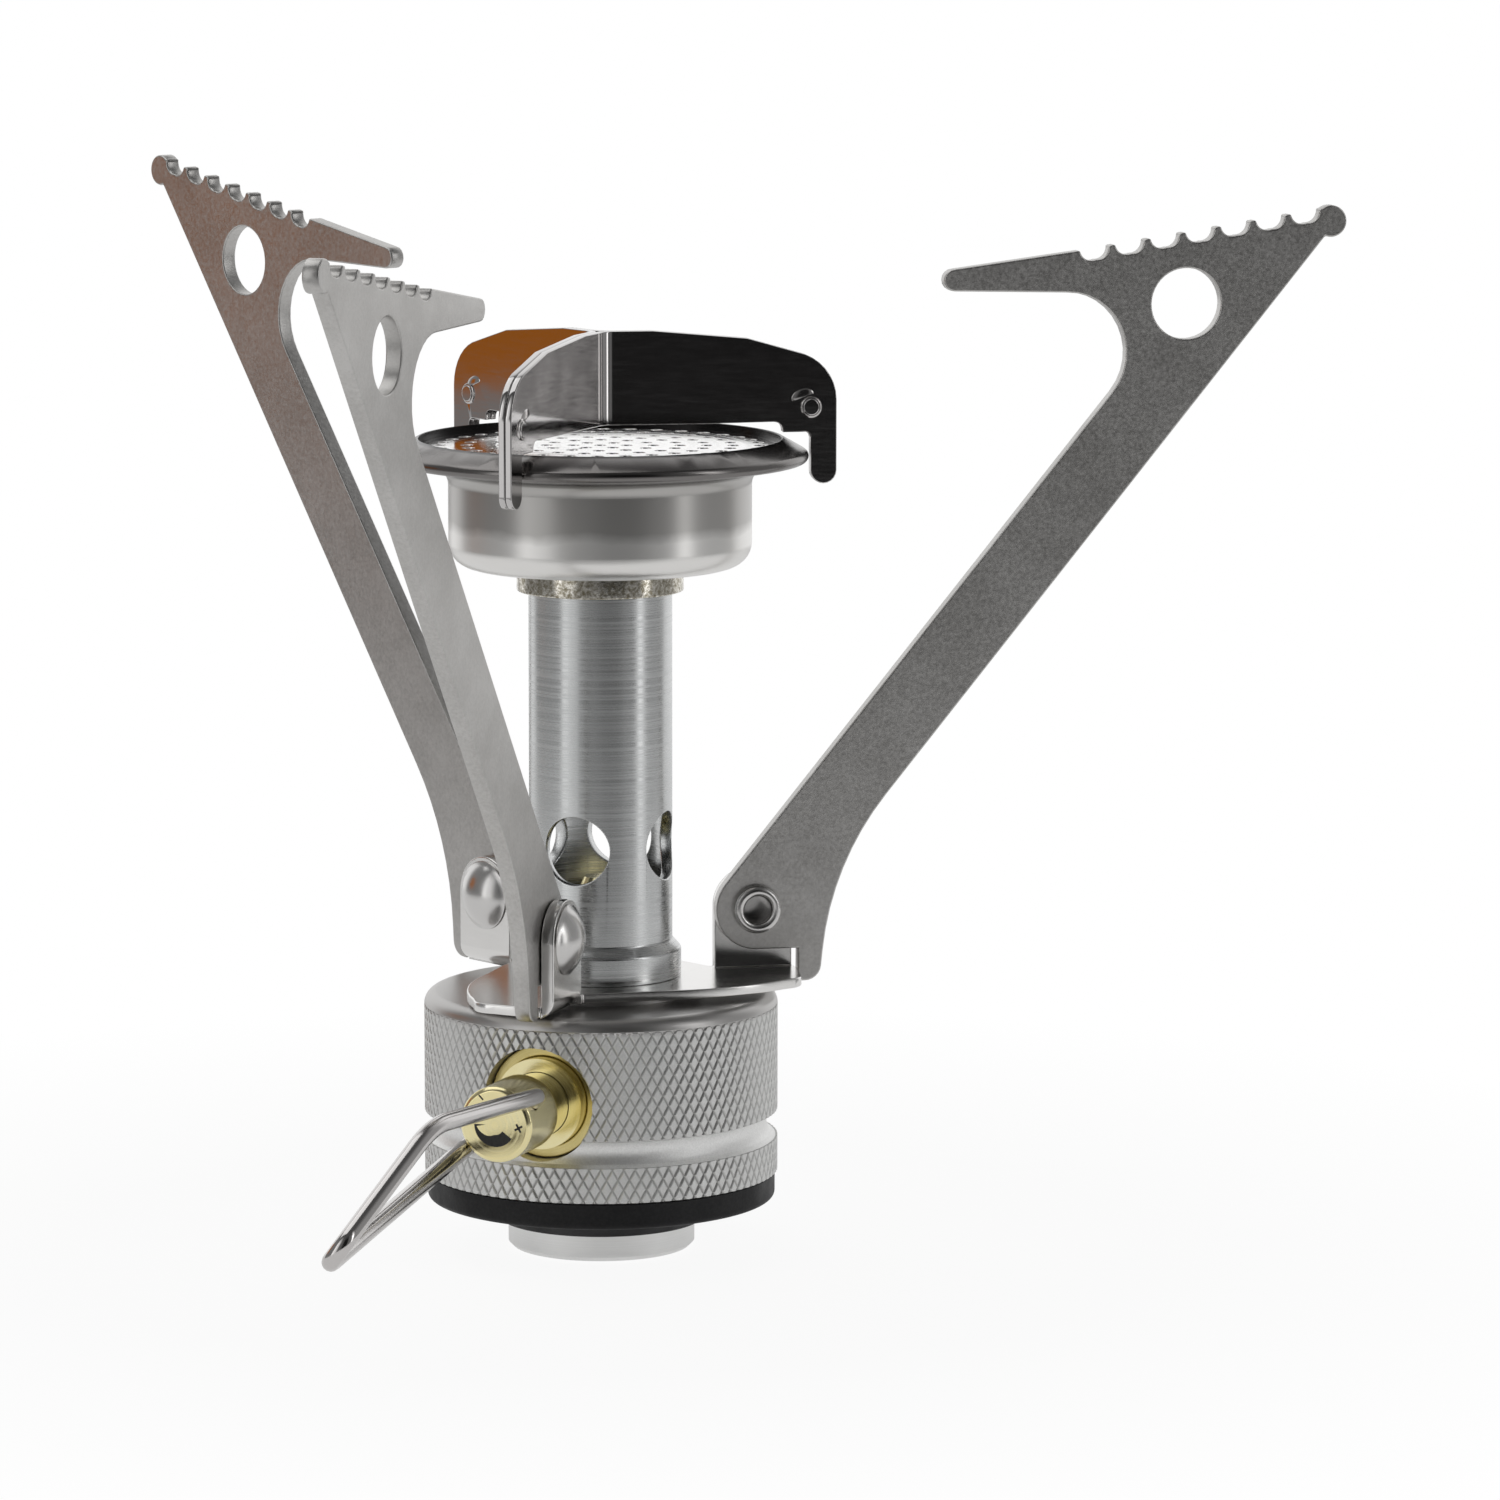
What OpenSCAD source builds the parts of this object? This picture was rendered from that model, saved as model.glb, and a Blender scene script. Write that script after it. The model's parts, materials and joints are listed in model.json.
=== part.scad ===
// Folding canister-top camping stove.
// The canister thread's axis is Z, and z = 0 is the mouth of the thread.
// X points along no arm: every arm, wing and the valve has its own azimuth.

/* [Canister connector] */
// Outer diameter of the threaded collar
collar_d = 17; // [15:0.5:19]
// Minor diameter of the canister thread
thread_minor_d = 10.13; // [9.4:0.01:10.8]
// Length of the thread
thread_length = 9.5; // [8.5:0.25:10]
// How far the collar stands below the housing
collar_reach = 6.8; // [5.5:0.1:8]
// Outer diameter of the rubber pad under the housing
pad_d = 31.7; // [28:0.1:34]
// Thickness of the pad at its rim
pad_thickness = 2.3; // [1.5:0.1:3]
// Depth of the pad's inner lip below its rim
pad_lip = 2.0; // [0.5:0.1:2.4]

/* [Housing] */
// Outer diameter of the knurled housing
housing_d = 32.4; // [30:0.1:36]
// Height of the knurled housing, up to its shoulder
housing_height = 16.8; // [16:0.1:20]
// Height of the boss on the housing, which carries the support plate
boss_height = 0.5; // [0.2:0.1:1]
// Radius of the housing's top edge
housing_edge_r = 1.2; // [0.5:0.1:2]
// Height of the lower knurled band
lower_band_height = 3.4; // [2.5:0.1:3.6]
// Width of the groove between the knurled bands
groove_width = 2.4; // [1:0.1:2.6]
// Depth of the groove between the knurled bands
groove_depth = 1.1; // [0.5:0.1:1.6]

/* [Valve] */
// Azimuth of the valve spindle, in degrees
valve_azimuth = -110.5; // [-140:0.5:-90]
// Height of the spindle's axis above the housing's bottom
valve_height = 8.9; // [8.6:0.1:9.5]
// Diameter of the valve hole in the housing
valve_hole_d = 10.4; // [10.3:0.1:11.5]
// Diameter of the brass valve body
valve_body_d = 13; // [12.5:0.1:15]
// Diameter of the gland nut
gland_d = 8.2; // [7.6:0.1:8.6]
// Diameter of the spindle's shaft
shaft_d = 5.8; // [5.2:0.1:6.2]
// Diameter of the spindle's head
head_d = 6.8; // [6.3:0.1:8]
// Length of the spindle's head
head_length = 6.7; // [5.5:0.1:9]
// How far the spindle's head stands out of the housing
head_reach = 9.1; // [8.5:0.1:11]
// Diameter of the needle's seat
seat_d = 1.0; // [0.8:0.1:1.4]

/* [Wire handle] */
// Diameter of the wire
wire_d = 1.6; // [1.2:0.1:1.8]
// Angle of the cross hole in the spindle's head, in degrees
cross_hole_roll = 36; // [0:1:90]
// Distance from the head's face to the cross hole
cross_hole_depth = 2.0; // [1.8:0.1:2.6]
// Straight length of the kinked leg, from the cross hole to the kink
kink_length = 21.9; // [16:0.1:24]
// Length of the handle, from the cross hole to the loop's end
handle_length = 36.1; // [30:0.1:40]
// Droop of the loop's end below the cross hole's level
handle_droop = 3.9; // [0:0.1:8]
// Distance between the legs at the loop's end
loop_gap = 2.5; // [2.3:0.1:4]

/* [Support plate] */
// Thickness of the support plate
plate_thickness = 0.9; // [0.7:0.1:1.6]
// Radius of the support plate's lobes
lobe_r = 18.15; // [17.8:0.05:19]
// Width of each ear
ear_width = 7.2; // [6.6:0.1:8]
// Thickness of each ear
ear_thickness = 1.2; // [0.8:0.1:1.6]

/* [Pot supports] */
// Azimuth of the first pot support, in degrees
arm_azimuth = 11.2; // [0:0.1:30]
// Distance from the stove's axis to the rivets
pivot_r = 14.3; // [14:0.1:14.9]
// Height of the rivets above the support plate
pivot_height = 5.6; // [5.2:0.1:6.5]
// Thickness of each pot support
arm_thickness = 1.5; // [1:0.1:2]
// Width of each pot support's shank
shank_width = 6.7; // [6:0.1:8]
// Slope of the shank, in degrees
shank_slope = 51; // [49:0.5:53]
// Radius of the pot supports' tips from the stove's axis
tip_r = 67.6; // [64:0.1:72]
// Height of the tips above the rivets
tip_height = 63.3; // [61:0.1:66]
// Slope of the toothed edge, in degrees
edge_slope = 8.8; // [7:0.1:10]
// Number of notches in the toothed edge
notch_count = 7; // [4:1:7]
// Distance between notches
notch_pitch = 3.34; // [3:0.01:3.5]
// Depth of each notch
notch_depth = 1.1; // [0.8:0.05:1.3]
// Length of the finger, inwards from the first notch
finger_length = 14.0; // [10:0.5:16]
// Height of the finger's end
finger_end_height = 2.0; // [1.5:0.1:2.6]
// Radius of the corner between finger and shank
corner_r = 5.6; // [4:0.1:6]
// Diameter of the lightening hole
window_d = 6.5; // [4:0.1:7]
// Diameter of the rivet's shank
rivet_d = 3.2; // [2.6:0.1:3.6]
// Diameter of the rivet's domed head
rivet_head_d = 6.4; // [5.4:0.1:6.8]

/* [Mixing tube] */
// Outer diameter of the mixing tube
tube_d = 13; // [12.4:0.1:13.6]
// Wall of the mixing tube
tube_wall = 1.0; // [0.8:0.05:1.1]
// Distance from the support plate to the burner cup
tube_length = 37.4; // [34:0.1:40]
// How far the tube's foot stands out of the tube
foot_lip = 0.8; // [0.6:0.05:1.2]
// Height of the straight part of the tube's foot
foot_height = 2.5; // [1.5:0.1:4]
// Diameter of the air holes
air_hole_d = 6.2; // [5:0.1:7]
// Height of the air holes above the support plate
air_hole_height = 12.2; // [11.5:0.1:14]
// Diameter of the jet's thread
jet_thread_d = 4.0; // [3.6:0.1:4.4]
// Wall of the ring under the burner cup
ring_wall = 1.05; // [0.7:0.05:2]
// Height of the ring under the burner cup
ring_height = 2.2; // [1:0.1:3]

/* [Burner] */
// Outer diameter of the cup's wall
cup_d = 27.4; // [25:0.1:29]
// Outer diameter of the cup's rim
rim_d = 37.6; // [36.6:0.1:38]
// Inner diameter of the cup's rim
rim_inner_d = 32.7; // [31:0.1:33]
// Height of the cup
cup_height = 11.6; // [11:0.1:14]
// Sheet thickness of the cup
cup_wall = 0.6; // [0.4:0.05:0.8]
// Radius of the cup's bottom edge
cup_edge_r = 2.2; // [1.5:0.1:3.5]
// Radius of the rolled bead
bead_r = 0.55; // [0.45:0.05:0.7]
// Fall of the rim's top from its inner lip to the bead
rim_fall = 1.05; // [0.8:0.05:1.3]
// Depth of the burner plate below the rim's top
burner_recess = 0.7; // [0.5:0.1:0.9]
// Thickness of the burner plate
burner_thickness = 0.5; // [0.3:0.05:0.7]
// Diameter of the flame holes
flame_hole_d = 1.1; // [0.8:0.05:1.3]
// Distance between flame holes
flame_hole_pitch = 2.4; // [2.2:0.1:3]

/* [Wind clip] */
// Azimuth of the first wing, in degrees
wing_azimuth = 8.5; // [0:0.5:30]
// Sheet thickness of the wind clip
clip_sheet = 0.6; // [0.4:0.05:0.8]
// Inner radius of each sheet's bend
clip_bend_r = 1.6; // [1:0.1:2.5]
// Height of the wings above the rim's top
wing_height = 9.6; // [8:0.1:12]
// Gap between the wings' lower edge and the rim's top
wing_gap = 1.15; // [0.8:0.05:1.5]
// Radius of the wings' upper outer corner
wing_corner_r = 4.4; // [3:0.1:5]
// Width of the wings' legs
leg_width = 2.4; // [2.2:0.1:3.2]
// Length of the legs below the rim's top
leg_length = 4.4; // [4:0.1:5.5]

/* [Hidden] */
$fn = 96;

// Clearances
fit = 0.05;          // radial clearance of a running fit, and between sliding faces
clear = 0.3;         // clearance between curved faces of different bodies
cut = 1;             // how far a cutting tool stands out of what it cuts

// Levels, upwards from the mouth of the thread
housing_z = collar_reach;
valve_z = housing_z + valve_height;
shoulder_z = housing_z + housing_height;
plate_z = shoulder_z + boss_height;
foot_z = plate_z + plate_thickness;
pivot_z = foot_z + pivot_height;
cup_z = foot_z + tube_length;
rim_z = cup_z + cup_height;

// Colours
aluminium = [0.80, 0.81, 0.81];
polished_steel = [0.60, 0.60, 0.59];
tumbled_steel = [0.52, 0.52, 0.50];
satin_steel = [0.72, 0.72, 0.70];
brass_colour = [0.80, 0.70, 0.38];
bronze_colour = [0.55, 0.52, 0.42];
rubber_colour = [0.06, 0.06, 0.06];

// Points on an arc about c, from angle a0 to angle a1
function arc(c, r, a0, a1, steps = 8) = [for (i = [0:steps]) let(a = a0 + (a1 - a0) * i / steps)
                                         c + r * [cos(a), sin(a)]];
// A direction in the plane, and a point of a sheet turned about the origin
function ray(a) = [cos(a), sin(a)];
function turned(p, a) = [p.x * cos(a) - p.y * sin(a), p.x * sin(a) + p.y * cos(a)];

module ring_solid(outer_r, inner_r, h) {
    difference() {
        cylinder(h = h, r = outer_r);
        translate([0, 0, -cut]) cylinder(h = h + 2 * cut, r = inner_r);
    }
}

module bore(r, z0, z1) {
    translate([0, 0, z0]) cylinder(h = z1 - z0, r = r);
}

// Stands children that are drawn up the Z axis along the spindle instead
module along_valve() {
    translate([0, 0, valve_z]) rotate([0, 0, valve_azimuth]) rotate([0, 90, 0]) children();
}

// Lays a sheet drawn in the plane of radius and height at an azimuth, with its middle at a lateral distance
module upright(azimuth, thickness, lateral = 0) {
    rotate([0, 0, azimuth]) translate([0, lateral, 0]) rotate([90, 0, 0])
        linear_extrude(height = thickness, center = true) children();
}

// ---- Canister connector ----

collar_r = collar_d / 2;
thread_r = thread_minor_d / 2;
collar_chamfer = 0.4;

module canister_collar() {
    color(aluminium) difference() {
        rotate_extrude() polygon([[0, 0], [collar_r - collar_chamfer, 0], [collar_r, collar_chamfer],
                                  [collar_r, thread_length], [0, thread_length]]);
        bore(thread_r, -cut, thread_length + cut);
    }
}

pad_r = pad_d / 2;
pad_lip_wall = 0.8;
pad_edge_r = 0.5;

module base_pad() {
    rim_bottom = housing_z - pad_thickness;
    lip_r = collar_r + pad_lip_wall;
    color(rubber_colour) rotate_extrude() polygon(concat(
        [[collar_r, housing_z], [collar_r, rim_bottom - pad_lip], [lip_r, rim_bottom - pad_lip],
         [lip_r + pad_lip, rim_bottom]],
        arc([pad_r - pad_edge_r, rim_bottom + pad_edge_r], pad_edge_r, -90, 0),
        [[pad_r, housing_z]]));
}

// ---- Housing and valve ----

housing_r = housing_d / 2;
valve_body_r = valve_body_d / 2;
valve_hole_r = valve_hole_d / 2;
groove_z = housing_z + lower_band_height;
housing_chamfer = 0.3;
boss_r = 9;

module valve_housing() {
    groove_r = (pow(groove_width / 2, 2) + pow(groove_depth, 2)) / (2 * groove_depth);
    groove_axis = [housing_r - groove_depth + groove_r, groove_z + groove_width / 2];
    groove_half = asin(groove_width / 2 / groove_r);
    color(aluminium) difference() {
        rotate_extrude() polygon(concat(
            [[0, housing_z], [housing_r - housing_chamfer, housing_z], [housing_r, housing_z + housing_chamfer]],
            arc(groove_axis, groove_r, 180 + groove_half, 180 - groove_half, 12),
            arc([housing_r - housing_edge_r, shoulder_z - housing_edge_r], housing_edge_r, 0, 90),
            [[boss_r, shoulder_z], [boss_r, plate_z], [0, plate_z]]));
        bore(collar_r, housing_z - cut, thread_length);
        bore(valve_body_r, housing_z, plate_z + cut);
        along_valve() bore(valve_hole_r, 0, housing_r + cut);
    }
}

// Radii and distances along the spindle's axis, outwards from the stove's axis
nose_r = 4.0;                      // the sleeve's thread in the valve body
seat_end = 3.0;                    // where the needle's seat ends
nose_start = 4.2;
shoulder = 7.0;                    // where the sleeve meets its full width
sleeve_r = valve_hole_r - 2 * fit;
sleeve_end = housing_r - 2.4;
gland_r = gland_d / 2;
gland_start = 10.6;
gland_end = housing_r - 1.0;
shaft_r = shaft_d / 2;
spindle_thread_r = 2.2;
thread_end = 6.5;                  // where the spindle's thread ends
head_end = housing_r + head_reach; // the head's front face
head_start = head_end - head_length;

// Passages and recesses inside the valve body
seal_depth = 1.9;
seal_section_r = 0.9;
seal_ring_r = 3.2;
inlet_r = 1.2;
filter_height = 1.0;
outlet_r = 0.5;
outlet_offset = 3.6;
jet_chamber_r = 4.2;
jet_z = foot_z + 5;                // the valve body's top, where the jet's head sits
jet_thread_length = 3;
jet_chamber_z = jet_z - jet_thread_length - 2.6;
tube_bore_r = tube_d / 2 - tube_wall;

module valve_body() {
    color(brass_colour) difference() {
        union() {
            bore(valve_body_r, thread_length, plate_z);
            bore(tube_bore_r, plate_z - cut, jet_z);
        }
        bore(seal_ring_r + seal_section_r + fit, thread_length - cut, thread_length + seal_depth);
        bore(inlet_r, thread_length, valve_z);
        along_valve() bore(seat_d / 2, 0, seat_end + cut);
        along_valve() bore(nose_r, seat_end, valve_body_r + cut);
        rotate([0, 0, valve_azimuth]) translate([outlet_offset, 0, 0]) bore(outlet_r, valve_z, jet_chamber_z + cut);
        bore(jet_chamber_r, jet_chamber_z, jet_z - jet_thread_length);
        bore(jet_thread_d / 2, jet_chamber_z, jet_z + cut);
    }
}

module valve_sleeve() {
    color(brass_colour) along_valve() difference() {
        union() {
            bore(nose_r, nose_start, shoulder + cut);
            bore(sleeve_r, shoulder, sleeve_end);
        }
        bore(spindle_thread_r + fit, nose_start - cut, sleeve_end);
        bore(shaft_r + fit, thread_end, sleeve_end);
        bore(gland_r, gland_start, sleeve_end + cut);
    }
}

module canister_seal() {
    color(rubber_colour) translate([0, 0, thread_length + seal_depth - seal_section_r])
        rotate_extrude() translate([seal_ring_r, 0]) circle(r = seal_section_r, $fn = 32);
}

pin_depth = 1.6;                   // how far the pin is pressed into the valve body
pin_hole_r = 0.45;

module depressor_pin() {
    pin_top = thread_length + seal_depth + pin_depth;
    color(brass_colour) difference() {
        bore(inlet_r, thread_length + clear, pin_top);
        bore(pin_hole_r, thread_length - cut, pin_top + cut);
    }
}

module inlet_filter() {
    filter_z = thread_length + seal_depth + pin_depth;
    color(bronze_colour) bore(inlet_r, filter_z, filter_z + filter_height);
}

jet_head_height = 2.4;
jet_nose_height = 1.6;
jet_hex_r = 3.0;
orifice_r = 0.15;

module jet_nozzle() {
    jet_top = jet_z + jet_head_height + jet_nose_height;
    color(brass_colour) difference() {
        union() {
            bore(jet_thread_d / 2, jet_z - jet_thread_length, jet_z + jet_head_height);
            translate([0, 0, jet_z]) cylinder(h = jet_head_height, r = jet_hex_r, $fn = 6);
            translate([0, 0, jet_z + jet_head_height])
                cylinder(h = jet_nose_height, r1 = jet_hex_r * 0.75, r2 = jet_hex_r * 0.5);
        }
        bore(jet_thread_d / 2 - 1, jet_z - jet_thread_length - cut, jet_z + jet_head_height);
        bore(orifice_r, jet_z, jet_top + cut);
    }
}

module spindle_gland() {
    color(brass_colour) along_valve() difference() {
        bore(gland_r, gland_start, gland_end);
        bore(shaft_r + fit, gland_start - cut, gland_end + cut);
    }
}

// The O-ring and its groove in the spindle
o_ring_start = 7.2;
o_ring_width = 1.0;
o_ring_depth = 0.9;

module spindle_o_ring() {
    groove_floor = shaft_r - o_ring_depth;
    color(rubber_colour) along_valve() difference() {
        bore(shaft_r, o_ring_start, o_ring_start + o_ring_width);
        bore(groove_floor + fit, o_ring_start - cut, o_ring_start + o_ring_width + cut);
    }
}

needle_tip = 2.5;
needle_start = 4.4;
head_chamfer = 0.35;
cross_hole_r = wire_d / 2 + fit;
cross_hole_s = head_end - cross_hole_depth;

module control_spindle() {
    groove_floor = shaft_r - o_ring_depth;
    head_r = head_d / 2;
    color(brass_colour) along_valve() difference() {
        rotate_extrude() polygon([
            [0, needle_tip], [seat_d / 4, needle_tip], [spindle_thread_r / 2, needle_start],
            [spindle_thread_r, needle_start], [spindle_thread_r, thread_end + fit],
            [shaft_r, thread_end + fit], [shaft_r, o_ring_start - fit], [groove_floor, o_ring_start - fit],
            [groove_floor, o_ring_start + o_ring_width + fit], [shaft_r, o_ring_start + o_ring_width + fit],
            [shaft_r, head_start], [head_r - head_chamfer, head_start], [head_r, head_start + head_chamfer],
            [head_r, head_end - head_chamfer], [head_r - head_chamfer, head_end], [0, head_end]]);
        rotate([0, 0, cross_hole_roll]) translate([0, 0, cross_hole_s]) rotate([90, 0, 0])
            cylinder(h = head_d + 2 * cut, r = cross_hole_r, center = true);
    }
}

// ---- Wire handle ----
// Its points are [down, along the cross hole, out along the spindle], from the cross hole's middle.

wire_r = wire_d / 2;
leg_w = head_d / 2 + wire_r + 3 * fit;
pin_bend = 1.2;                    // how far from the legs' corners the bends at the pins start
pin_end_w = 1.0;
pin_root_w = leg_w - pin_bend;
pin_lap = 0.1;                     // how far the bent wire runs into the straight pins
kink_rise = 1.7;
kink_bend = 3;
loop_side = -2.75;                 // how far the loop's end lies beside the spindle's axis
loop_twist = 0.75;                 // by which the kinked leg ends higher than the straight one
loop_bend = loop_gap / 2 - 0.05;
wire_sides = 16;
wire_inset = 0.01;                 // keeps the bent wire just inside the pins' surface
bend_steps = 6;
HANDLE_PATH = [[0, pin_root_w - pin_lap, 0], [0, leg_w, 0], [-kink_rise, leg_w, kink_length],
               [handle_droop - loop_twist, loop_side + loop_gap / 2, handle_length],
               [handle_droop, loop_side - loop_gap / 2, handle_length],
               [0, -leg_w, 0], [0, pin_lap - pin_root_w, 0]];
// How far from each point its bend starts
BENDS = [0, pin_bend, kink_bend, loop_bend, loop_bend, pin_bend, 0];

function unit(v) = v / norm(v);
function bend_point(a, p, b, t) = (1 - t) * (1 - t) * a + 2 * t * (1 - t) * p + t * t * b;
function bent(path, bends) = concat([path[0]],
    [for (i = [1:len(path) - 2]) let(p = path[i], a = p + unit(path[i - 1] - p) * bends[i],
                                     b = p + unit(path[i + 1] - p) * bends[i])
        for (j = [0:bend_steps]) bend_point(a, p, b, j / bend_steps)],
    [path[len(path) - 1]]);
function heading(path, i) = unit(path[min(i + 1, len(path) - 1)] - path[max(i - 1, 0)]);
function wire_ring(p, t, r) = let(side = unit(cross(t, [1, 0, 0])), up = cross(side, t))
    [for (k = [0:wire_sides - 1]) let(a = 360 * k / wire_sides) p + r * (cos(a) * side + sin(a) * up)];

module wire_sweep(path, r) {
    rings = [for (i = [0:len(path) - 1]) wire_ring(path[i], heading(path, i), r)];
    last = len(path) - 1;
    walls = [for (i = [1:last]) for (k = [0:wire_sides - 1]) let(m = (k + 1) % wire_sides)
        for (t = [[(i - 1) * wire_sides + k, i * wire_sides + m, i * wire_sides + k],
                  [(i - 1) * wire_sides + k, (i - 1) * wire_sides + m, i * wire_sides + m]]) t];
    start_cap = [for (k = [wire_sides - 1:-1:0]) k];
    end_cap = [for (k = [0:wire_sides - 1]) last * wire_sides + k];
    polyhedron(points = [for (ring = rings) for (p = ring) p], faces = concat(walls, [start_cap, end_cap]));
}

module wire_handle() {
    color(polished_steel) along_valve() rotate([0, 0, cross_hole_roll]) translate([0, 0, cross_hole_s]) union() {
        wire_sweep(bent(HANDLE_PATH, BENDS), wire_r - wire_inset);
        for (side = [-1, 1]) rotate([side * 90, 0, 0]) bore(wire_r, pin_end_w, pin_root_w);
    }
}

// ---- Support plate ----

arm_half = arm_thickness / 2;
ear_inner = arm_half + 2 * fit;
ear_outer = ear_inner + ear_thickness;
ear_edge_r = ear_width / 2;
ear_bend_r = ear_thickness + 0.3;
root_r = pivot_r - ear_edge_r - 0.3; // where the plate's edge meets each ear

// One third of the plate's outline, clockwise from the ear round the lobe to the next ear's foot
LOBE = concat(
    [[root_r, ear_outer], [lobe_r, ear_outer]],
    arc([0, 0], lobe_r, -3, -11, 2),
    arc([lobe_r - 2.6, -4.1], 2.2, -5, -55, 5),
    arc([4.9, 9], 18.85, -55, -94, 8));

module ear(azimuth) {
    difference() {
        union() {
            upright(azimuth, ear_thickness, ear_inner + ear_thickness / 2) union() {
                translate([pivot_r - ear_edge_r, plate_z]) square([ear_width, pivot_z - plate_z]);
                translate([pivot_r, pivot_z]) circle(r = ear_edge_r);
            }
            // the ear's root, which reaches into the plate
            upright(azimuth, ear_thickness / 2, ear_inner)
                translate([pivot_r - ear_edge_r, plate_z]) square([ear_width, plate_thickness]);
        }
        upright(azimuth, ear_thickness + cut, ear_inner + ear_thickness / 2)
            translate([pivot_r, pivot_z]) circle(r = rivet_d / 2);
        // the bend under the ear
        rotate([0, 0, azimuth]) translate([pivot_r - ear_width, ear_outer - ear_bend_r, plate_z]) difference() {
            translate([0, 0, -cut]) cube([2 * ear_width, ear_bend_r + cut, ear_bend_r + cut]);
            translate([-cut, 0, ear_bend_r]) rotate([0, 90, 0]) cylinder(h = 3 * ear_width, r = ear_bend_r);
            translate([-cut, -cut, -2 * cut]) cube([3 * ear_width, cut, 2 * ear_width]);
        }
    }
}

module support_plate() {
    outline = [for (k = [0:2]) for (p = LOBE) turned(p, arm_azimuth - 120 * k)];
    color(tumbled_steel) union() {
        difference() {
            translate([0, 0, plate_z]) linear_extrude(height = plate_thickness) polygon(outline);
            bore(tube_bore_r, plate_z - cut, foot_z + cut);
            for (k = [0:2]) rotate([0, 0, arm_azimuth + 120 * k])
                translate([pivot_r - ear_edge_r, ear_outer - ear_thickness, plate_z - cut])
                    cube([lobe_r, 2 * ear_thickness, plate_thickness + 2 * cut]);
        }
        for (k = [0:2]) ear(arm_azimuth + 120 * k);
    }
}

// ---- Pot supports and their rivets ----
// The arm's outline is drawn in the plane of radius and height, with the rivet's axis at its origin.

shank_dir = ray(shank_slope);
shank_out = ray(shank_slope - 90);
lobe_edge = ear_edge_r + 0.15;     // radius of the arm's end about the rivet
heel_r = lobe_r - pivot_r + fit;   // the heel's inner face, which rests on the plate's lobe
heel_width = 2.0;
heel_drop = pivot_height + plate_thickness + 0.3;
heel_slope = 84;
tip_knob_r = 1.45;                 // the rounded knob at the tip, and its middle from the tip
tip_knob = [0.2, -1.25];
edge_dir = ray(edge_slope);
tip = [tip_r - pivot_r, tip_height];
outer_offset = shank_width - lobe_edge;
finger_gap = 3.75;                 // depth of the arm's head at the finger's root
finger_rise = 0.25;                // how far the finger's lower edge rises to its end
tip_land = 2.3;                    // from the tip to the middle of the last notch
notch_flat = 0.25;                 // half the flat part of each notch's floor
heel_edge_r = 1.5;
heel_corner_r = 0.3;
outer_bend_r = 27;                 // of the outer edge, where the shank turns down to the heel
window_offset = [-13.4, -8.6];     // from the tip to the middle of the lightening hole
REST_FOLDS = [0, 2.4, 1];          // how far each arm stands folded in from its stop, in degrees

// Where the line through p along u meets the line through q along v
function meet(p, u, q, v) = p + u * ((q - p).x * v.y - (q - p).y * v.x) / (u.x * v.y - u.y * v.x);

module arm_outline() {
    first_notch = tip - edge_dir * (notch_pitch * (notch_count - 1) + tip_land);
    finger_root = first_notch - edge_dir * notch_pitch / 2;
    finger_bottom = finger_root.y - finger_gap;
    finger_end = finger_root.x - finger_length + notch_pitch / 2;
    corner = meet(-shank_out * (lobe_edge + corner_r), shank_dir, [0, finger_bottom - corner_r], [1, 0]);
    heel_out = heel_r + heel_width;
    bend = meet(shank_out * outer_offset, shank_dir, [heel_out, -heel_drop], ray(heel_slope));
    bend_half = (heel_slope - shank_slope) / 2;
    polygon(concat(
        [[heel_r, -lobe_edge]],
        arc([0, 0], lobe_edge, -90, shank_slope - 270, 16),
        arc(corner, corner_r, shank_slope - 90, 90, 12),
        arc([finger_end + finger_end_height / 2, finger_bottom + finger_end_height / 2 + finger_rise],
            finger_end_height / 2, 270, 90, 8),
        [finger_root, tip, meet(shank_out * outer_offset, shank_dir, tip, [0, 1])],
        arc(bend + ray((heel_slope + shank_slope) / 2 - 90) * (outer_bend_r / cos(bend_half)), outer_bend_r,
            shank_slope + 90, heel_slope + 90, 8),
        arc([heel_out - heel_edge_r * tan(heel_slope / 2), heel_edge_r - heel_drop], heel_edge_r,
            heel_slope - 90, -90, 6),
        arc([heel_r + heel_corner_r, heel_corner_r - heel_drop], heel_corner_r, -90, -180, 3)));
}

module notches() {
    for (k = [0:notch_count - 1]) {
        middle = tip - edge_dir * (notch_pitch * k + tip_land);
        translate(middle - edge_dir * notch_flat) circle(r = notch_depth, $fn = 32);
        translate(middle + edge_dir * notch_flat) circle(r = notch_depth, $fn = 32);
    }
}

module pot_support(azimuth, fold) {
    color(tumbled_steel) difference() {
        union() {
            upright(azimuth, arm_thickness) translate([pivot_r, pivot_z]) rotate(fold) arm_outline();
            upright(azimuth, arm_thickness) translate([pivot_r, pivot_z]) rotate(fold)
                translate(tip + tip_knob) circle(r = tip_knob_r);
        }
        upright(azimuth, arm_thickness + cut) translate([pivot_r, pivot_z]) rotate(fold) union() {
            notches();
            translate(tip + window_offset) circle(d = window_d);
            circle(r = rivet_d / 2 + fit);
        }
    }
}

rivet_head_height = 1.5;
rivet_tail_d = 4.4;
rivet_tail_height = 0.8;
rivet_hole_d = 2.4;

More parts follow.
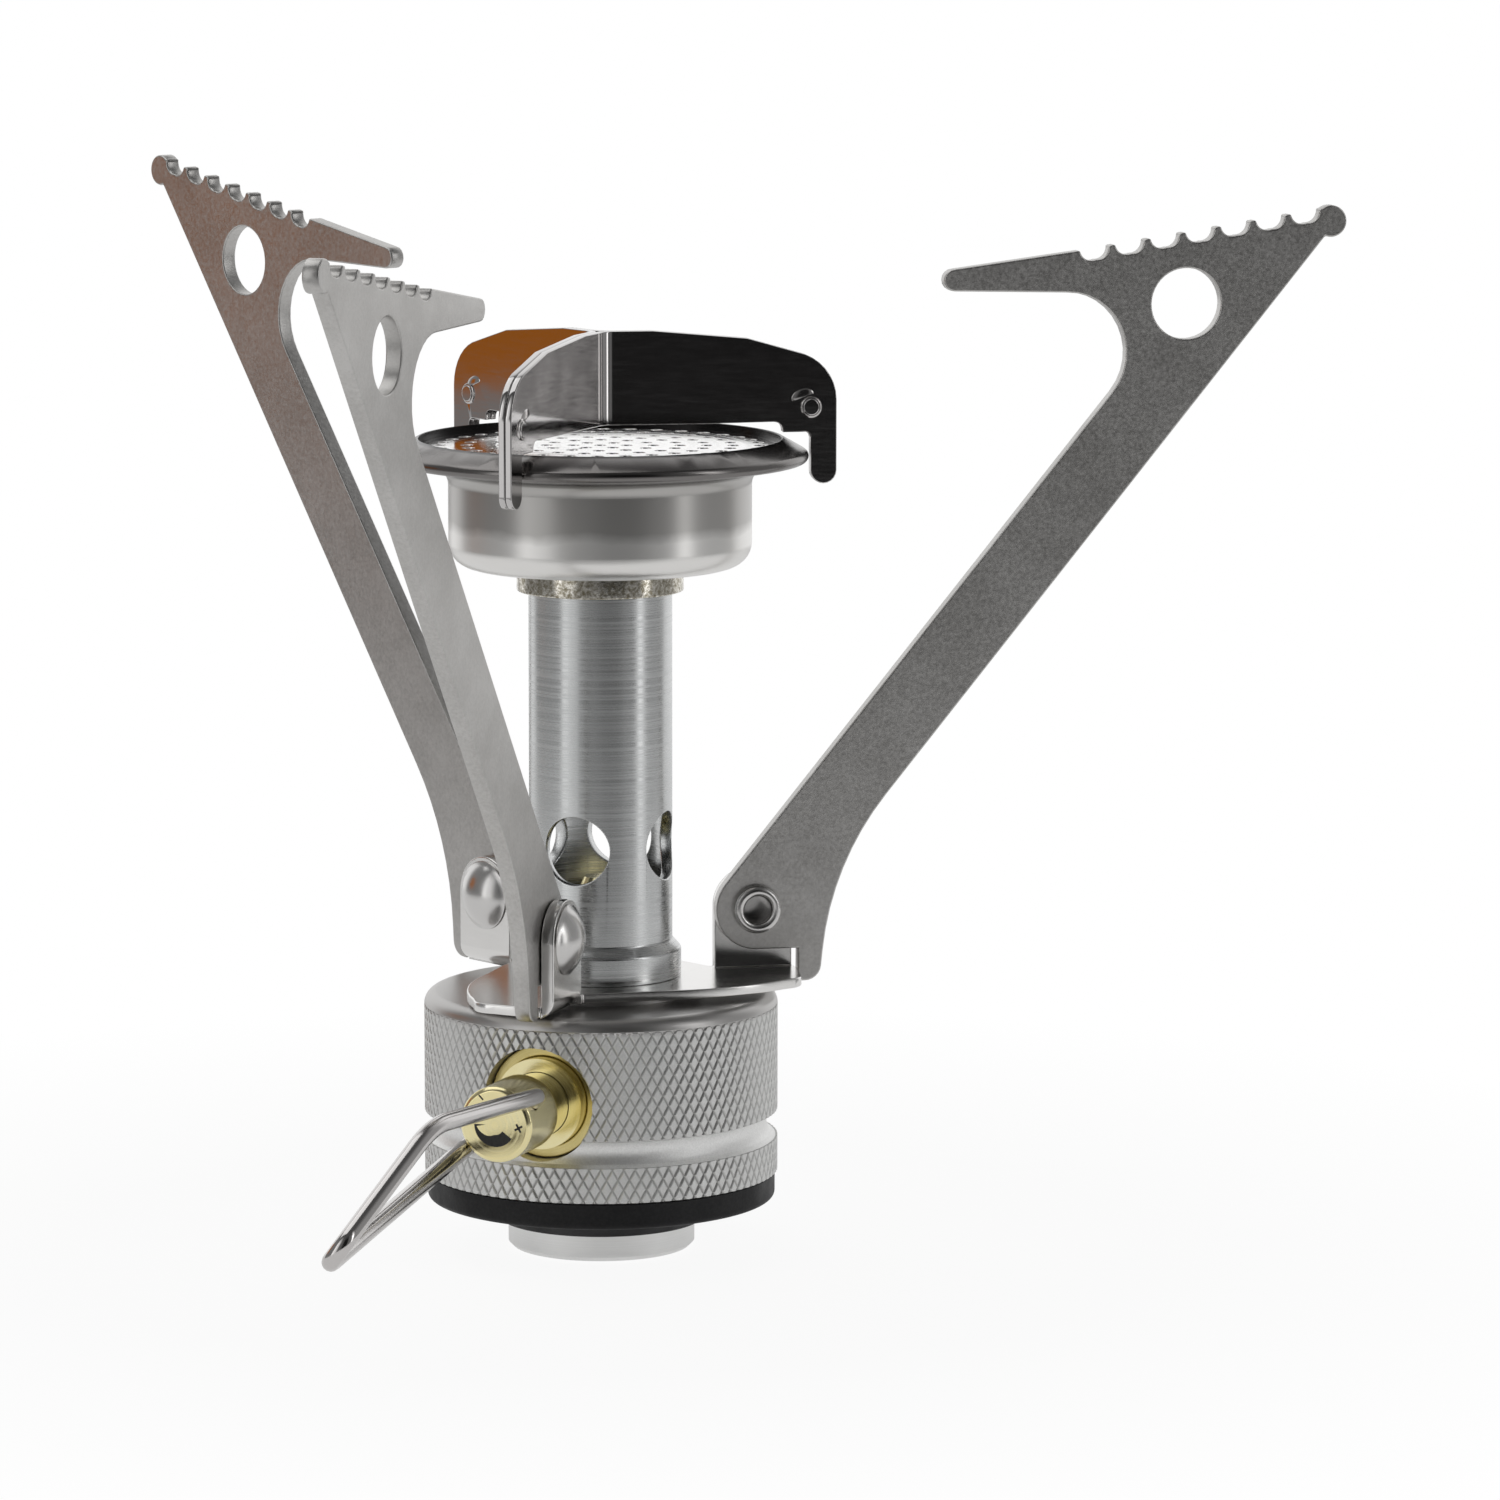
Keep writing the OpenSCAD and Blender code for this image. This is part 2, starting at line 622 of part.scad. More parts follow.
module pivot_rivet(azimuth) {
    head_r = rivet_head_d / 2;
    dome_r = (head_r * head_r + rivet_head_height * rivet_head_height) / (2 * rivet_head_height);
    tail_face = -arm_half - fit;
    color(polished_steel) rotate([0, 0, azimuth]) translate([pivot_r, 0, pivot_z]) rotate([-90, 0, 0]) difference() {
        union() {
            bore(rivet_d / 2, tail_face - rivet_tail_height, ear_outer + 0.2);
            bore(rivet_tail_d / 2, tail_face - rivet_tail_height, tail_face);
            intersection() {
                translate([0, 0, ear_outer + rivet_head_height - dome_r]) sphere(r = dome_r);
                bore(head_r, ear_outer, ear_outer + rivet_head_height + cut);
            }
        }
        bore(rivet_hole_d / 2, tail_face - rivet_tail_height - cut, ear_outer);
    }
}

// ---- Mixing tube ----

foot_chamfer = 0.9;
tube_r = tube_d / 2;
foot_r = tube_r + foot_lip;

module mixing_tube() {
    color(polished_steel) difference() {
        rotate_extrude() polygon([[tube_bore_r, foot_z], [foot_r, foot_z], [foot_r, foot_z + foot_height],
                                  [tube_r, foot_z + foot_height + foot_chamfer], [tube_r, cup_z + cup_wall],
                                  [tube_bore_r, cup_z + cup_wall]]);
        translate([0, 0, foot_z + air_hole_height]) rotate([0, 0, valve_azimuth]) for (k = [0:1])
            rotate([0, 90, 90 * k]) cylinder(h = tube_d + 2 * cut, d = air_hole_d, center = true);
    }
}

module tube_ring() {
    color(bronze_colour) translate([0, 0, cup_z - ring_height]) ring_solid(tube_r + ring_wall, tube_r, ring_height);
}

// ---- Burner ----

cup_r = cup_d / 2;
rim_r = rim_d / 2;
rim_inner_r = rim_inner_d / 2;
flare_height = 4.1;                // height of the flare below the rim's top
flare_r = 1.4;                     // radius where the wall turns outwards
rim_lip = 0.2;                     // flat top of the rim's inner lip
seat_width = 0.8;                  // the burner plate's seat, which slopes down inwards
seat_fall = 0.4;
burner_top = rim_z - burner_recess;

module burner_cup() {
    bead = [rim_r - bead_r, rim_z - rim_fall - bead_r];
    flare = [cup_r + flare_r, rim_z - flare_height];
    inner_r = cup_r - cup_wall;
    seat_z = burner_top - burner_thickness;
    color(satin_steel) rotate_extrude() polygon(concat(
        [[tube_r, cup_z]],
        arc([cup_r - cup_edge_r, cup_z + cup_edge_r], cup_edge_r, -90, 0),
        arc(flare, flare_r, 180, 100, 6),
        arc(bead, bead_r, -80, 60, 10),
        [[rim_inner_r + rim_lip, rim_z], [rim_inner_r, rim_z]],
        [[rim_inner_r, seat_z], [rim_inner_r - seat_width, seat_z - seat_fall]],
        arc(flare, flare_r + cup_wall, 100, 180, 6),
        arc([cup_r - cup_edge_r, cup_z + cup_edge_r], cup_edge_r - cup_wall, 0, -90),
        [[tube_r, cup_z + cup_wall]]));
}

module burner_plate() {
    ring_count = floor((rim_inner_r - flame_hole_pitch * 0.8) / flame_hole_pitch);
    color(satin_steel) translate([0, 0, burner_top - burner_thickness])
        linear_extrude(height = burner_thickness) difference() {
            circle(r = rim_inner_r);
            circle(d = flame_hole_d, $fn = 24);
            for (ring = [1:ring_count]) for (i = [0:6 * ring - 1])
                rotate(360 * i / (6 * ring)) translate([ring * flame_hole_pitch, 0]) circle(d = flame_hole_d, $fn = 24);
        }
}

// ---- Wind clip ----
// Three bent sheets, back to back in pairs: each pair is one wing with a leg that hooks over the rim.

clip_gap = 0.02;                   // between the two sheets of a wing
bend_outer_r = clip_bend_r + clip_sheet;
bend_centre = (bend_outer_r + clip_gap) / sin(60);
level_r = 3.5;                     // where the trimming of the wings starts
middle_r = 12;                     // within it, the sheets are cut level at the wings' lower edge
edge_tilt = 0.1;                   // by which the edges there lie outside the bend's own edges
wing_bottom = rim_z + wing_gap;
wing_top = rim_z + wing_height;
slot_top = rim_z + clear;
leg_inner = rim_r + clear;
leg_outer = leg_inner + leg_width;
leg_end_r = leg_width / 2;
toe_r = 0.8;                       // radius where a wing's lower edge steps down to the rim's lip
toe_inner = rim_inner_r + rim_lip;
hook_r = 0.5;                      // inner radius of the hook over the rim
wing_fall = 2.0;                   // fall of the upper edge from the middle to the outer corner

module wing_outline() {
    polygon(concat(
        [[0, wing_bottom - edge_tilt], [level_r, wing_bottom - edge_tilt]],
        arc([toe_inner - toe_r, wing_bottom + edge_tilt - toe_r], toe_r, 90, 0, 5),
        [[toe_inner, slot_top], [leg_inner - hook_r, slot_top]],
        arc([leg_inner - hook_r, slot_top - hook_r], hook_r, 90, 0, 4),
        arc([leg_inner + leg_end_r, rim_z - leg_length + leg_end_r], leg_end_r, 180, 360, 10),
        arc([leg_outer - wing_corner_r, wing_top - wing_fall - wing_corner_r], wing_corner_r, 0, 80, 8),
        [for (share = [0.62, 0.4]) [leg_outer * share, wing_top - wing_fall * share * share]],
        [[level_r, wing_top + edge_tilt], [0, wing_top + edge_tilt]]));
}

// A bent sheet in plan, with its first wing along X: outer faces first, then back along the inner ones
bend_middle = bend_centre * ray(60);
wing_reach = leg_outer + cut;
SHEET_PLAN = concat(
    [[wing_reach, clip_gap]], arc(bend_middle, bend_outer_r, -90, -150),
    [turned([wing_reach, -clip_gap], 120), turned([wing_reach, -clip_gap - clip_sheet], 120)],
    arc(bend_middle, clip_bend_r, -150, -90), [[wing_reach, clip_gap + clip_sheet]]);

// Places children at the middle of a wing's button, with Z across the wing
button_r = 0.75;
button_proud = 0.25;
button_place = [leg_outer - 2.35, 0, rim_z + 2.55];

module at_button(azimuth) {
    rotate([0, 0, azimuth]) translate(button_place) rotate([90, 0, 0]) children();
}

// What lies round a wing's outline, on one side of the wing's middle and thicker than its sheet
slab = 4 * clip_sheet;

module wing_trim(azimuth, side) {
    upright(azimuth, slab, side * slab / 2) difference() {
        translate([level_r, rim_z - leg_length - 2 * cut]) square([wing_reach, leg_length + wing_height + 4 * cut]);
        wing_outline();
    }
}

module clip_sheet(azimuth) {
    low = rim_z - leg_length - cut;
    color(polished_steel) difference() {
        rotate([0, 0, azimuth]) translate([0, 0, low]) linear_extrude(height = wing_top - low) polygon(SHEET_PLAN);
        bore(middle_r, low - cut, wing_bottom);
        wing_trim(azimuth, 1);
        wing_trim(azimuth + 120, -1);
        at_button(azimuth) cylinder(h = slab, r = button_r, center = true);
        at_button(azimuth + 120) cylinder(h = slab, r = button_r, center = true);
    }
}

module clip_button(azimuth) {
    sheets = 2 * (clip_sheet + clip_gap);
    color(polished_steel) at_button(azimuth)
        cylinder(h = sheets + 2 * button_proud, r = button_r, center = true);
}

canister_collar();
base_pad();
valve_housing();
valve_body();
valve_sleeve();
canister_seal();
depressor_pin();
inlet_filter();
jet_nozzle();
spindle_gland();
spindle_o_ring();
control_spindle();
wire_handle();
support_plate();
mixing_tube();
tube_ring();
burner_cup();
burner_plate();
pot_support(arm_azimuth, REST_FOLDS[0]);  // pot_support_1
pot_support(arm_azimuth + 120, REST_FOLDS[1]);  // pot_support_2
pot_support(arm_azimuth + 240, REST_FOLDS[2]);  // pot_support_3
pivot_rivet(arm_azimuth);  // pivot_rivet_1
pivot_rivet(arm_azimuth + 120);  // pivot_rivet_2
pivot_rivet(arm_azimuth + 240);  // pivot_rivet_3
clip_sheet(wing_azimuth);  // clip_sheet_1
clip_sheet(wing_azimuth + 120);  // clip_sheet_2
clip_sheet(wing_azimuth + 240);  // clip_sheet_3
clip_button(wing_azimuth);  // clip_button_1
clip_button(wing_azimuth + 120);  // clip_button_2
clip_button(wing_azimuth + 240);  // clip_button_3
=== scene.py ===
# %% [markdown]
# # A folding camping stove
#
# This lesson dresses an engineer's model of a small gas stove. The solids come from CAD, in
# metres, and stay where they are. Blender adds what a solid can't show: knurling, thread, broken
# edges, rolled rivets, and a finish for every metal. Each piece is made with bmesh operators, so
# each cell can be read as one step of the work that a modeller would do by hand.

# %% Load the frame
import json
import math

import bmesh
import bpy
from mathutils import Matrix, Vector


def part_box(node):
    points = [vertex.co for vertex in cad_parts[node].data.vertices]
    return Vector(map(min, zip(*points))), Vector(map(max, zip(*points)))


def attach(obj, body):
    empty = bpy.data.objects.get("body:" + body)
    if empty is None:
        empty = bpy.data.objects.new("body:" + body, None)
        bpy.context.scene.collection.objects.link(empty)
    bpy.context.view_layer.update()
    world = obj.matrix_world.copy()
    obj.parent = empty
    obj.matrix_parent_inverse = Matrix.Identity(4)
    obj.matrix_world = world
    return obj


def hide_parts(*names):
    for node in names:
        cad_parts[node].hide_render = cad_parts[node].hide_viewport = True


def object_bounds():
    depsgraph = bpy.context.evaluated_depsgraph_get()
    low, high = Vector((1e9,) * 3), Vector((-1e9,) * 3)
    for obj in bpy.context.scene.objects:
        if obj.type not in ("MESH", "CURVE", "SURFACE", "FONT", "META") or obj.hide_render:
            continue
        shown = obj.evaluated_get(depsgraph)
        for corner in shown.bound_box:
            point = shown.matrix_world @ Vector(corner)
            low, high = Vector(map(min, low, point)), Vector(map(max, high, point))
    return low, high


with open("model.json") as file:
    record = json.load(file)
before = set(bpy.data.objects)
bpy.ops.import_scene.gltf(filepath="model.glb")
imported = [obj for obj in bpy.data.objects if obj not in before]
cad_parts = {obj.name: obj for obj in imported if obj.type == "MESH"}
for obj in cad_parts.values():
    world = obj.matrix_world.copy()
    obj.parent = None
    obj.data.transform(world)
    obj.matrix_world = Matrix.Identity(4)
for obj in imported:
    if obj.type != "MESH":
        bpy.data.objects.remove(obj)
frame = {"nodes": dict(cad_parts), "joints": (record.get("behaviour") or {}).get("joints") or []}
cad_low, cad_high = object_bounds()
print("The CAD box in mm:", [round(1000 * (b - a), 1) for a, b in zip(cad_low, cad_high)])

# %% [markdown]
# ## The studio
#
# A long lens far from the stove keeps the tall pieces straight. The room is white behind and
# beside the stove and dark behind the camera, as in a light tent: metal has no colour of its own
# worth showing, so what it mirrors matters more than the lamps.

# %% Camera
MM = 0.001
UP = Vector((0, 0, 1))
CAMERA_PLACE = (0.01343, -0.6276, 0.1388)
CAMERA_TILT = 81.55    # degrees; 90 would look straight ahead
CAMERA_ROLL = -0.07    # degrees

camera_data = bpy.data.cameras.new("camera")
camera_data.lens = 168
camera_data.sensor_width = 36
camera = bpy.data.objects.new("camera", camera_data)
camera.location = CAMERA_PLACE
camera.rotation_euler = (math.radians(CAMERA_TILT), math.radians(CAMERA_ROLL), 0)
bpy.context.scene.collection.objects.link(camera)
bpy.context.scene.camera = camera
bpy.context.scene.view_settings.view_transform = "Standard"
print("The camera stands", round(camera.location.length, 3), "m away")

# %% [markdown]
# ## Wiring a shader in code
#
# In the editor a material is wired with the mouse. In code each node takes three or four lines, so
# a few helpers make a node, set its sockets by name and link the ones that come from other nodes.
# The finishes further down then read like recipes.

# %% Node helpers
def plug(tree, socket, value):
    """Links a socket to another node's output, or sets it to a value."""
    if isinstance(value, bpy.types.NodeSocket):
        tree.links.new(value, socket)
    else:
        socket.default_value = value


def add_node(tree, kind, **inputs):
    """A shader node with its sockets set by name."""
    node = tree.nodes.new(kind)
    for name, value in inputs.items():
        plug(tree, node.inputs[name.replace("_", " ")], value)
    return node


def math_node(tree, operation, a, b=0.0):
    """One sum on two numbers or sockets."""
    node = tree.nodes.new("ShaderNodeMath")
    node.operation = operation
    for socket, value in zip(node.inputs, (a, b)):
        plug(tree, socket, value)
    return node.outputs[0]


def scaled(tree, value, low_in, high_in, low_out, high_out):
    """Maps a socket from one range to another, clamped."""
    node = add_node(tree, "ShaderNodeMapRange", Value=value, From_Min=low_in, From_Max=high_in,
                    To_Min=low_out, To_Max=high_out)
    return node.outputs["Result"]


def above(tree, value, start, end):
    """A mask that is 0 up to the start and 1 from the end on."""
    return scaled(tree, value, start, end, 0, 1)


def below(tree, value, start, end):
    """A mask that is 1 up to the start and 0 from the end on."""
    return scaled(tree, value, start, end, 1, 0)


def blended(tree, factor, colour_a, colour_b):
    """Mixes two colours by a socket."""
    node = tree.nodes.new("ShaderNodeMix")
    node.data_type = "RGBA"
    tree.links.new(factor, node.inputs["Factor"])
    for name, colour in (("A", colour_a), ("B", colour_b)):
        is_socket = isinstance(colour, bpy.types.NodeSocket)
        plug(tree, node.inputs[name], colour if is_socket else (*colour, 1))
    return node.outputs["Result"]


def coordinates(tree, kind):
    """Texture coordinates of one kind."""
    return add_node(tree, "ShaderNodeTexCoord").outputs[kind]


def grey(value):
    """A colour without a hue."""
    return (value, value, value)


print("Node helpers ready")

# %% [markdown]
# ## The room's walls
#
# The world is painted by direction, like panels hung round a table. It is dark behind the camera,
# so that flat steel reads as steel, grey at the sides with a bright strip on each, and white at
# the back, which gives every cylinder its bright edges. A picture of a real studio could do this
# too, but panels can be moved one by one. The camera itself always sees white.

# %% World
# Each panel is an angle in degrees, counted from the camera towards the right, and a brightness.
PANELS = [(-180, 1.0), (-132, 1.0), (-122, 0.24), (-64, 0.20), (-61, 1.5), (-56, 1.5), (-52, 0.9),
          (-38, 0.9), (-30, 0.17), (-6, 0.12), (4, 0.012), (32, 0.012), (40, 0.17), (62, 0.13),
          (64, 1.9), (71, 1.9), (75, 0.26), (118, 0.36), (130, 1.0), (180, 1.0)]
# A brightness, and the heights where it starts and is full, as sines of the angle.
CEILING, CEILING_STARTS, CEILING_FULL = 0.09, 0.55, 0.85
GROUND, GROUND_STARTS, GROUND_FULL = 0.42, -0.12, -0.20

world = bpy.data.worlds.new("tent")
bpy.context.scene.world = world
world.use_nodes = True
room = world.node_tree
direction = add_node(room, "ShaderNodeSeparateXYZ", Vector=coordinates(room, "Generated"))
sideways, away, upwards = direction.outputs
heading = math_node(room, "ARCTAN2", sideways, math_node(room, "MULTIPLY", away, -1.0))
panels = room.nodes.new("ShaderNodeValToRGB")
room.links.new(above(room, heading, -math.pi, math.pi), panels.inputs["Fac"])
stops = panels.color_ramp.elements
while len(stops) < len(PANELS):
    stops.new(0.5)
for stop, (angle, brightness) in zip(stops, PANELS):
    stop.position = angle / 360 + 0.5
    stop.color = (*grey(brightness), 1)
overhead = above(room, upwards, CEILING_STARTS, CEILING_FULL)
underfoot = below(room, upwards, GROUND_FULL, GROUND_STARTS)
walls = blended(room, overhead, panels.outputs["Color"], grey(CEILING))
walls = blended(room, underfoot, walls, grey(GROUND))
camera_ray = add_node(room, "ShaderNodeLightPath").outputs["Is Camera Ray"]
backdrop = room.nodes["Background"]
plug(room, backdrop.inputs["Color"], blended(room, camera_ray, walls, grey(1.0)))
backdrop.inputs["Strength"].default_value = 1.0
print("The room has", len(PANELS), "panels and", len(room.nodes), "nodes")

# %% [markdown]
# ## The table
#
# The stove stands on a small white table top. Plain white paint would turn grey in this dark room,
# so it glows for the camera and, less, for mirrors. Close to the stove the camera sees a little
# less of the glow, which lets the soft shadow show.

# %% Floor
GLOW_NEAR, GLOW_FAR = 0.93, 1.0              # share of the glow that the camera sees
NEAR, FAR = 0.05, 0.12                       # metres from the stove's axis
GLOW_IN_MIRRORS = 0.55
TABLE_SIZE, TABLE_CENTRE_Y = (0.5, 0.42), 0.08
TABLE_DROP = 0.2 * MM                        # the table lies this far below the lowest point


def floor_paint():
    """White paint that glows for the camera, a little less close by, and less for mirrors."""
    paint = bpy.data.materials.new("white table")
    paint.use_nodes = True
    tree = paint.node_tree
    base = tree.nodes["Principled BSDF"]
    base.inputs["Base Color"].default_value = (*grey(0.9), 1)
    base.inputs["Roughness"].default_value = 0.9
    glow = add_node(tree, "ShaderNodeEmission", Color=(1, 1, 1, 1), Strength=1.0)
    centre = add_node(tree, "ShaderNodeVectorMath", Vector=coordinates(tree, "Object"))
    centre.operation = "LENGTH"
    ray = add_node(tree, "ShaderNodeLightPath")
    share = scaled(tree, centre.outputs["Value"], NEAR, FAR, GLOW_NEAR, GLOW_FAR)
    to_camera = math_node(tree, "MULTIPLY", ray.outputs["Is Camera Ray"], share)
    to_mirrors = math_node(tree, "MULTIPLY", ray.outputs["Is Glossy Ray"], GLOW_IN_MIRRORS)
    mixed = tree.nodes.new("ShaderNodeMixShader")
    tree.links.new(math_node(tree, "MAXIMUM", to_camera, to_mirrors), mixed.inputs["Fac"])
    tree.links.new(base.outputs[0], mixed.inputs[1])
    tree.links.new(glow.outputs[0], mixed.inputs[2])
    tree.links.new(mixed.outputs[0], tree.nodes["Material Output"].inputs["Surface"])
    return paint


def stage_object(bm, name, paint):
    """Makes an object of the studio from a bmesh, with its paint."""
    mesh = bpy.data.meshes.new(name)
    bm.to_mesh(mesh)
    bm.free()
    mesh.materials.append(paint)
    thing = bpy.data.objects.new(name, mesh)
    bpy.context.scene.collection.objects.link(thing)
    return thing


def flat_board(width, length):
    """A rectangle about the origin, facing up."""
    bm = bmesh.new()
    bmesh.ops.create_grid(bm, x_segments=1, y_segments=1, size=0.5)
    bmesh.ops.scale(bm, verts=bm.verts, vec=(width, length, 1))
    return bm


table = flat_board(*TABLE_SIZE)
bmesh.ops.translate(table, verts=table.verts, vec=(0, TABLE_CENTRE_Y, cad_low[2] - TABLE_DROP))
floor = stage_object(table, "floor", floor_paint())
print("The floor lies at z =", round(1000 * floor.data.vertices[0].co.z, 2), "mm")

# %% [markdown]
# ## The lamps
#
# The room lights the stove almost by itself. One large lamp above gives the shadow its direction,
# and a small one at the right lifts the knurling. Both are square, as softboxes are.

# %% Lamps
AIM = (0, 0, 0.05)


def softbox(name, place, width, watts):
    """A square lamp that points at the middle of the stove."""
    lamp = bpy.data.lights.new(name, "AREA")
    lamp.size = width
    lamp.energy = watts
    holder = bpy.data.objects.new(name, lamp)
    holder.location = place
    holder.rotation_euler = (Vector(AIM) - Vector(place)).to_track_quat("-Z", "Y").to_euler()
    bpy.context.scene.collection.objects.link(holder)


softbox("top softbox", place=(-0.25, 0.15, 0.75), width=0.6, watts=1.2)
softbox("right softbox", place=(0.6, -0.32, 0.3), width=0.12, watts=0.1)
print("Two lamps hung")

# %% [markdown]
# ## The brown card
#
# A small brown card stands to the left. Only the polished wing and the pot support that look that
# way can mirror it, and it is left out of everything else: it lights nothing matt, throws no
# shadow, and the camera doesn't see it.

# %% Card
CARD_SIZE = (0.08, 0.073)
CARD_PLACE = (-0.26, 0.075, 0.0885)
CARD_COLOUR = (0.37, 0.115, 0.014)


def card_board():
    """Board that shows one colour in any light."""
    board = bpy.data.materials.new("brown board")
    board.use_nodes = True
    tree = board.node_tree
    glow = add_node(tree, "ShaderNodeEmission", Color=(*CARD_COLOUR, 1), Strength=1.0)
    tree.links.new(glow.outputs[0], tree.nodes["Material Output"].inputs["Surface"])
    return board


upright = flat_board(*CARD_SIZE)
for axis in ("X", "Z"):
    quarter = Matrix.Rotation(math.radians(90), 3, axis)
    bmesh.ops.rotate(upright, verts=upright.verts, matrix=quarter)
bmesh.ops.translate(upright, verts=upright.verts, vec=CARD_PLACE)
card = stage_object(upright, "card", card_board())
card.visible_camera = False
card.visible_diffuse = False
card.visible_shadow = False
print("The card's first corner, in mm:", [round(1000 * x) for x in card.data.vertices[0].co])

# %% [markdown]
# ## Finishes
#
# Every metal here is the same shader with a different story. Turned parts carry fine rings about
# their axis, so their pattern reads the distance from the axis and the height along it. Tumbled
# parts are speckled all over. The helpers below make the patterns, and each finish then says how
# much of them there is.

# %% Pattern helpers
NOISE_MIDDLE = (0.35, 0.65)    # a noise seldom leaves this range


def object_place(tree, location=(0, 0, 0), rotation=(0, 0, 0), scale=(1, 1, 1)):
    """Object coordinates, moved and turned so that a pattern can follow a piece's own axis."""
    mapping = add_node(tree, "ShaderNodeMapping", Vector=coordinates(tree, "Object"))
    mapping.vector_type = "TEXTURE"
    mapping.inputs["Location"].default_value = location
    mapping.inputs["Rotation"].default_value = rotation
    mapping.inputs["Scale"].default_value = scale
    return mapping.outputs["Vector"]


def height_along(tree, place):
    """Height on the Z axis of a place."""
    return add_node(tree, "ShaderNodeSeparateXYZ", Vector=place).outputs["Z"]


def axis_distance(tree, place):
    """Distance from the Z axis of a place."""
    parts = add_node(tree, "ShaderNodeSeparateXYZ", Vector=place)
    squares = [math_node(tree, "MULTIPLY", parts.outputs[name], parts.outputs[name])
               for name in ("X", "Y")]
    return math_node(tree, "SQRT", math_node(tree, "ADD", *squares))


def speckle(tree, place, size, detail=3.0, roughness=0.6):
    """Noise whose grains are about this many metres across."""
    return add_node(tree, "ShaderNodeTexNoise", Vector=place, Scale=1 / size, Detail=detail,
                    Roughness=roughness).outputs["Fac"]


def turning_lines(tree, place, pitch):
    """Rings about the Z axis of a place, as a cutting tool leaves them on walls and faces."""
    both = add_node(tree, "ShaderNodeCombineXYZ", X=axis_distance(tree, place),
                    Y=height_along(tree, place))
    return add_node(tree, "ShaderNodeTexNoise", Vector=both.outputs[0], Scale=1 / pitch,
                    Detail=2.0).outputs["Fac"]


def shared(tree, first, share, second):
    """Two patterns in one: the first has this share, and the second has the rest."""
    return math_node(tree, "ADD", math_node(tree, "MULTIPLY", first, share),
                     math_node(tree, "MULTIPLY", second, 1 - share))


def metal(name, colour, roughness, metallic=1.0):
    """A new material with its main shader set; returns the material, its tree and the shader."""
    material = bpy.data.materials.new(name)
    material.use_nodes = True
    shader = material.node_tree.nodes["Principled BSDF"]
    shader.inputs["Base Color"].default_value = (*colour, 1)
    shader.inputs["Metallic"].default_value = metallic
    shader.inputs["Roughness"].default_value = roughness
    return material, material.node_tree, shader


def raise_surface(tree, shader, height, depth):
    """Bump of a depth in metres."""
    bump = add_node(tree, "ShaderNodeBump", Height=height, Strength=1.0, Distance=depth)
    tree.links.new(bump.outputs["Normal"], shader.inputs["Normal"])


def vary_gloss(tree, shader, pattern, low, high):
    """Drives the roughness from a pattern."""
    tree.links.new(scaled(tree, pattern, *NOISE_MIDDLE, low, high), shader.inputs["Roughness"])


def vary_colour(tree, shader, pattern, dark, light, spread=NOISE_MIDDLE):
    """Drives the base colour from a pattern, between two colours."""
    mixed = blended(tree, above(tree, pattern, *spread), dark, light)
    tree.links.new(mixed, shader.inputs["Base Color"])


print("Pattern helpers ready")

# %% [markdown]
# ## Steel sheet
#
# The pot supports were stamped and then tumbled with stones, which leaves a dull, finely mottled
# skin with slightly bright edges. The plate, the wind clip, the rivets and the wire were polished
# instead: they need little colour of their own, a low roughness and a few faint waves.

# %% Steel finishes
def tumbled_steel(name, dark, light, gloss):
    """Stamped steel after tumbling: blotches and fine grains."""
    material, tree, shader = metal(name, light, 0.35)
    place = object_place(tree)
    grains = speckle(tree, place, size=0.35 * MM, detail=4.0, roughness=0.7)
    blotches = speckle(tree, place, size=6 * MM)
    both = shared(tree, grains, 0.6, blotches)
    vary_colour(tree, shader, both, dark, light, spread=(0.38, 0.62))
    vary_gloss(tree, shader, grains, gloss - 0.05, gloss + 0.09)
    raise_surface(tree, shader, grains, depth=0.008 * MM)
    return material


def polished_sheet(name, colour, roughness):
    """Bright sheet with faint waves and a few fine scratches."""
    material, tree, shader = metal(name, colour, roughness)
    place = object_place(tree)
    stretched = object_place(tree, scale=(6, 6, 0.6))
    scratches = speckle(tree, stretched, size=0.5 * MM, detail=6.0, roughness=0.8)
    vary_gloss(tree, shader, scratches, roughness - 0.02, roughness + 0.03)
    waves = speckle(tree, place, size=9 * MM, detail=2.0)
    raise_surface(tree, shader, waves, depth=0.02 * MM)
    return material


arm_finish = tumbled_steel("tumbled steel", (0.48, 0.47, 0.455), (0.62, 0.61, 0.595), 0.35)
plate_finish = polished_sheet("polished plate steel", (0.80, 0.79, 0.775), 0.20)
clip_finish = polished_sheet("polished clip steel", (0.58, 0.565, 0.56), 0.08)
wire_finish = polished_sheet("polished wire", (0.62, 0.60, 0.59), 0.14)
rivet_finish = polished_sheet("polished rivet", (0.66, 0.65, 0.64), 0.24)
for finish in (arm_finish, plate_finish, clip_finish, wire_finish, rivet_finish):
    print("Finish:", finish.name)

# %% [markdown]
# ## Turned metal
#
# The tube, the cup, the brass and the collar came off a lathe. Their lines run round the axis, so
# one helper serves them all; the brass spindle lies on its side, and its pattern is turned with
# it. The cup gets a recipe of its own, because its colour changes with height: the rim and the
# upper wall carry a painted dark reflection, the inside painted shade, and the lower edge a
# painted bright reflection of the table.

# %% Turned finishes
def joint_named(name):
    """A joint of the frame."""
    return next(joint for joint in frame["joints"] if joint["name"] == name)


def box_mm(node):
    """The low and the high corner of a CAD node's box, in mm."""
    return [[1000 * value for value in point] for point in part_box(node)]


spindle_joint = joint_named("spindle_turn")
spindle_axis = Vector(spindle_joint["axis"]).normalized()
spindle_place = Vector(spindle_joint["pos_m"])
spindle_tilt = UP.rotation_difference(spindle_axis).to_euler()
# Distances in mm for the cup's painted light: below the rim's top, and outside the burner plate's
# edge.
TABLE_REFLECTION_DROPS, ROLLED, INSIDE = (7.6, 6.6), (3.2, 2.2), (0.25, 0.55)


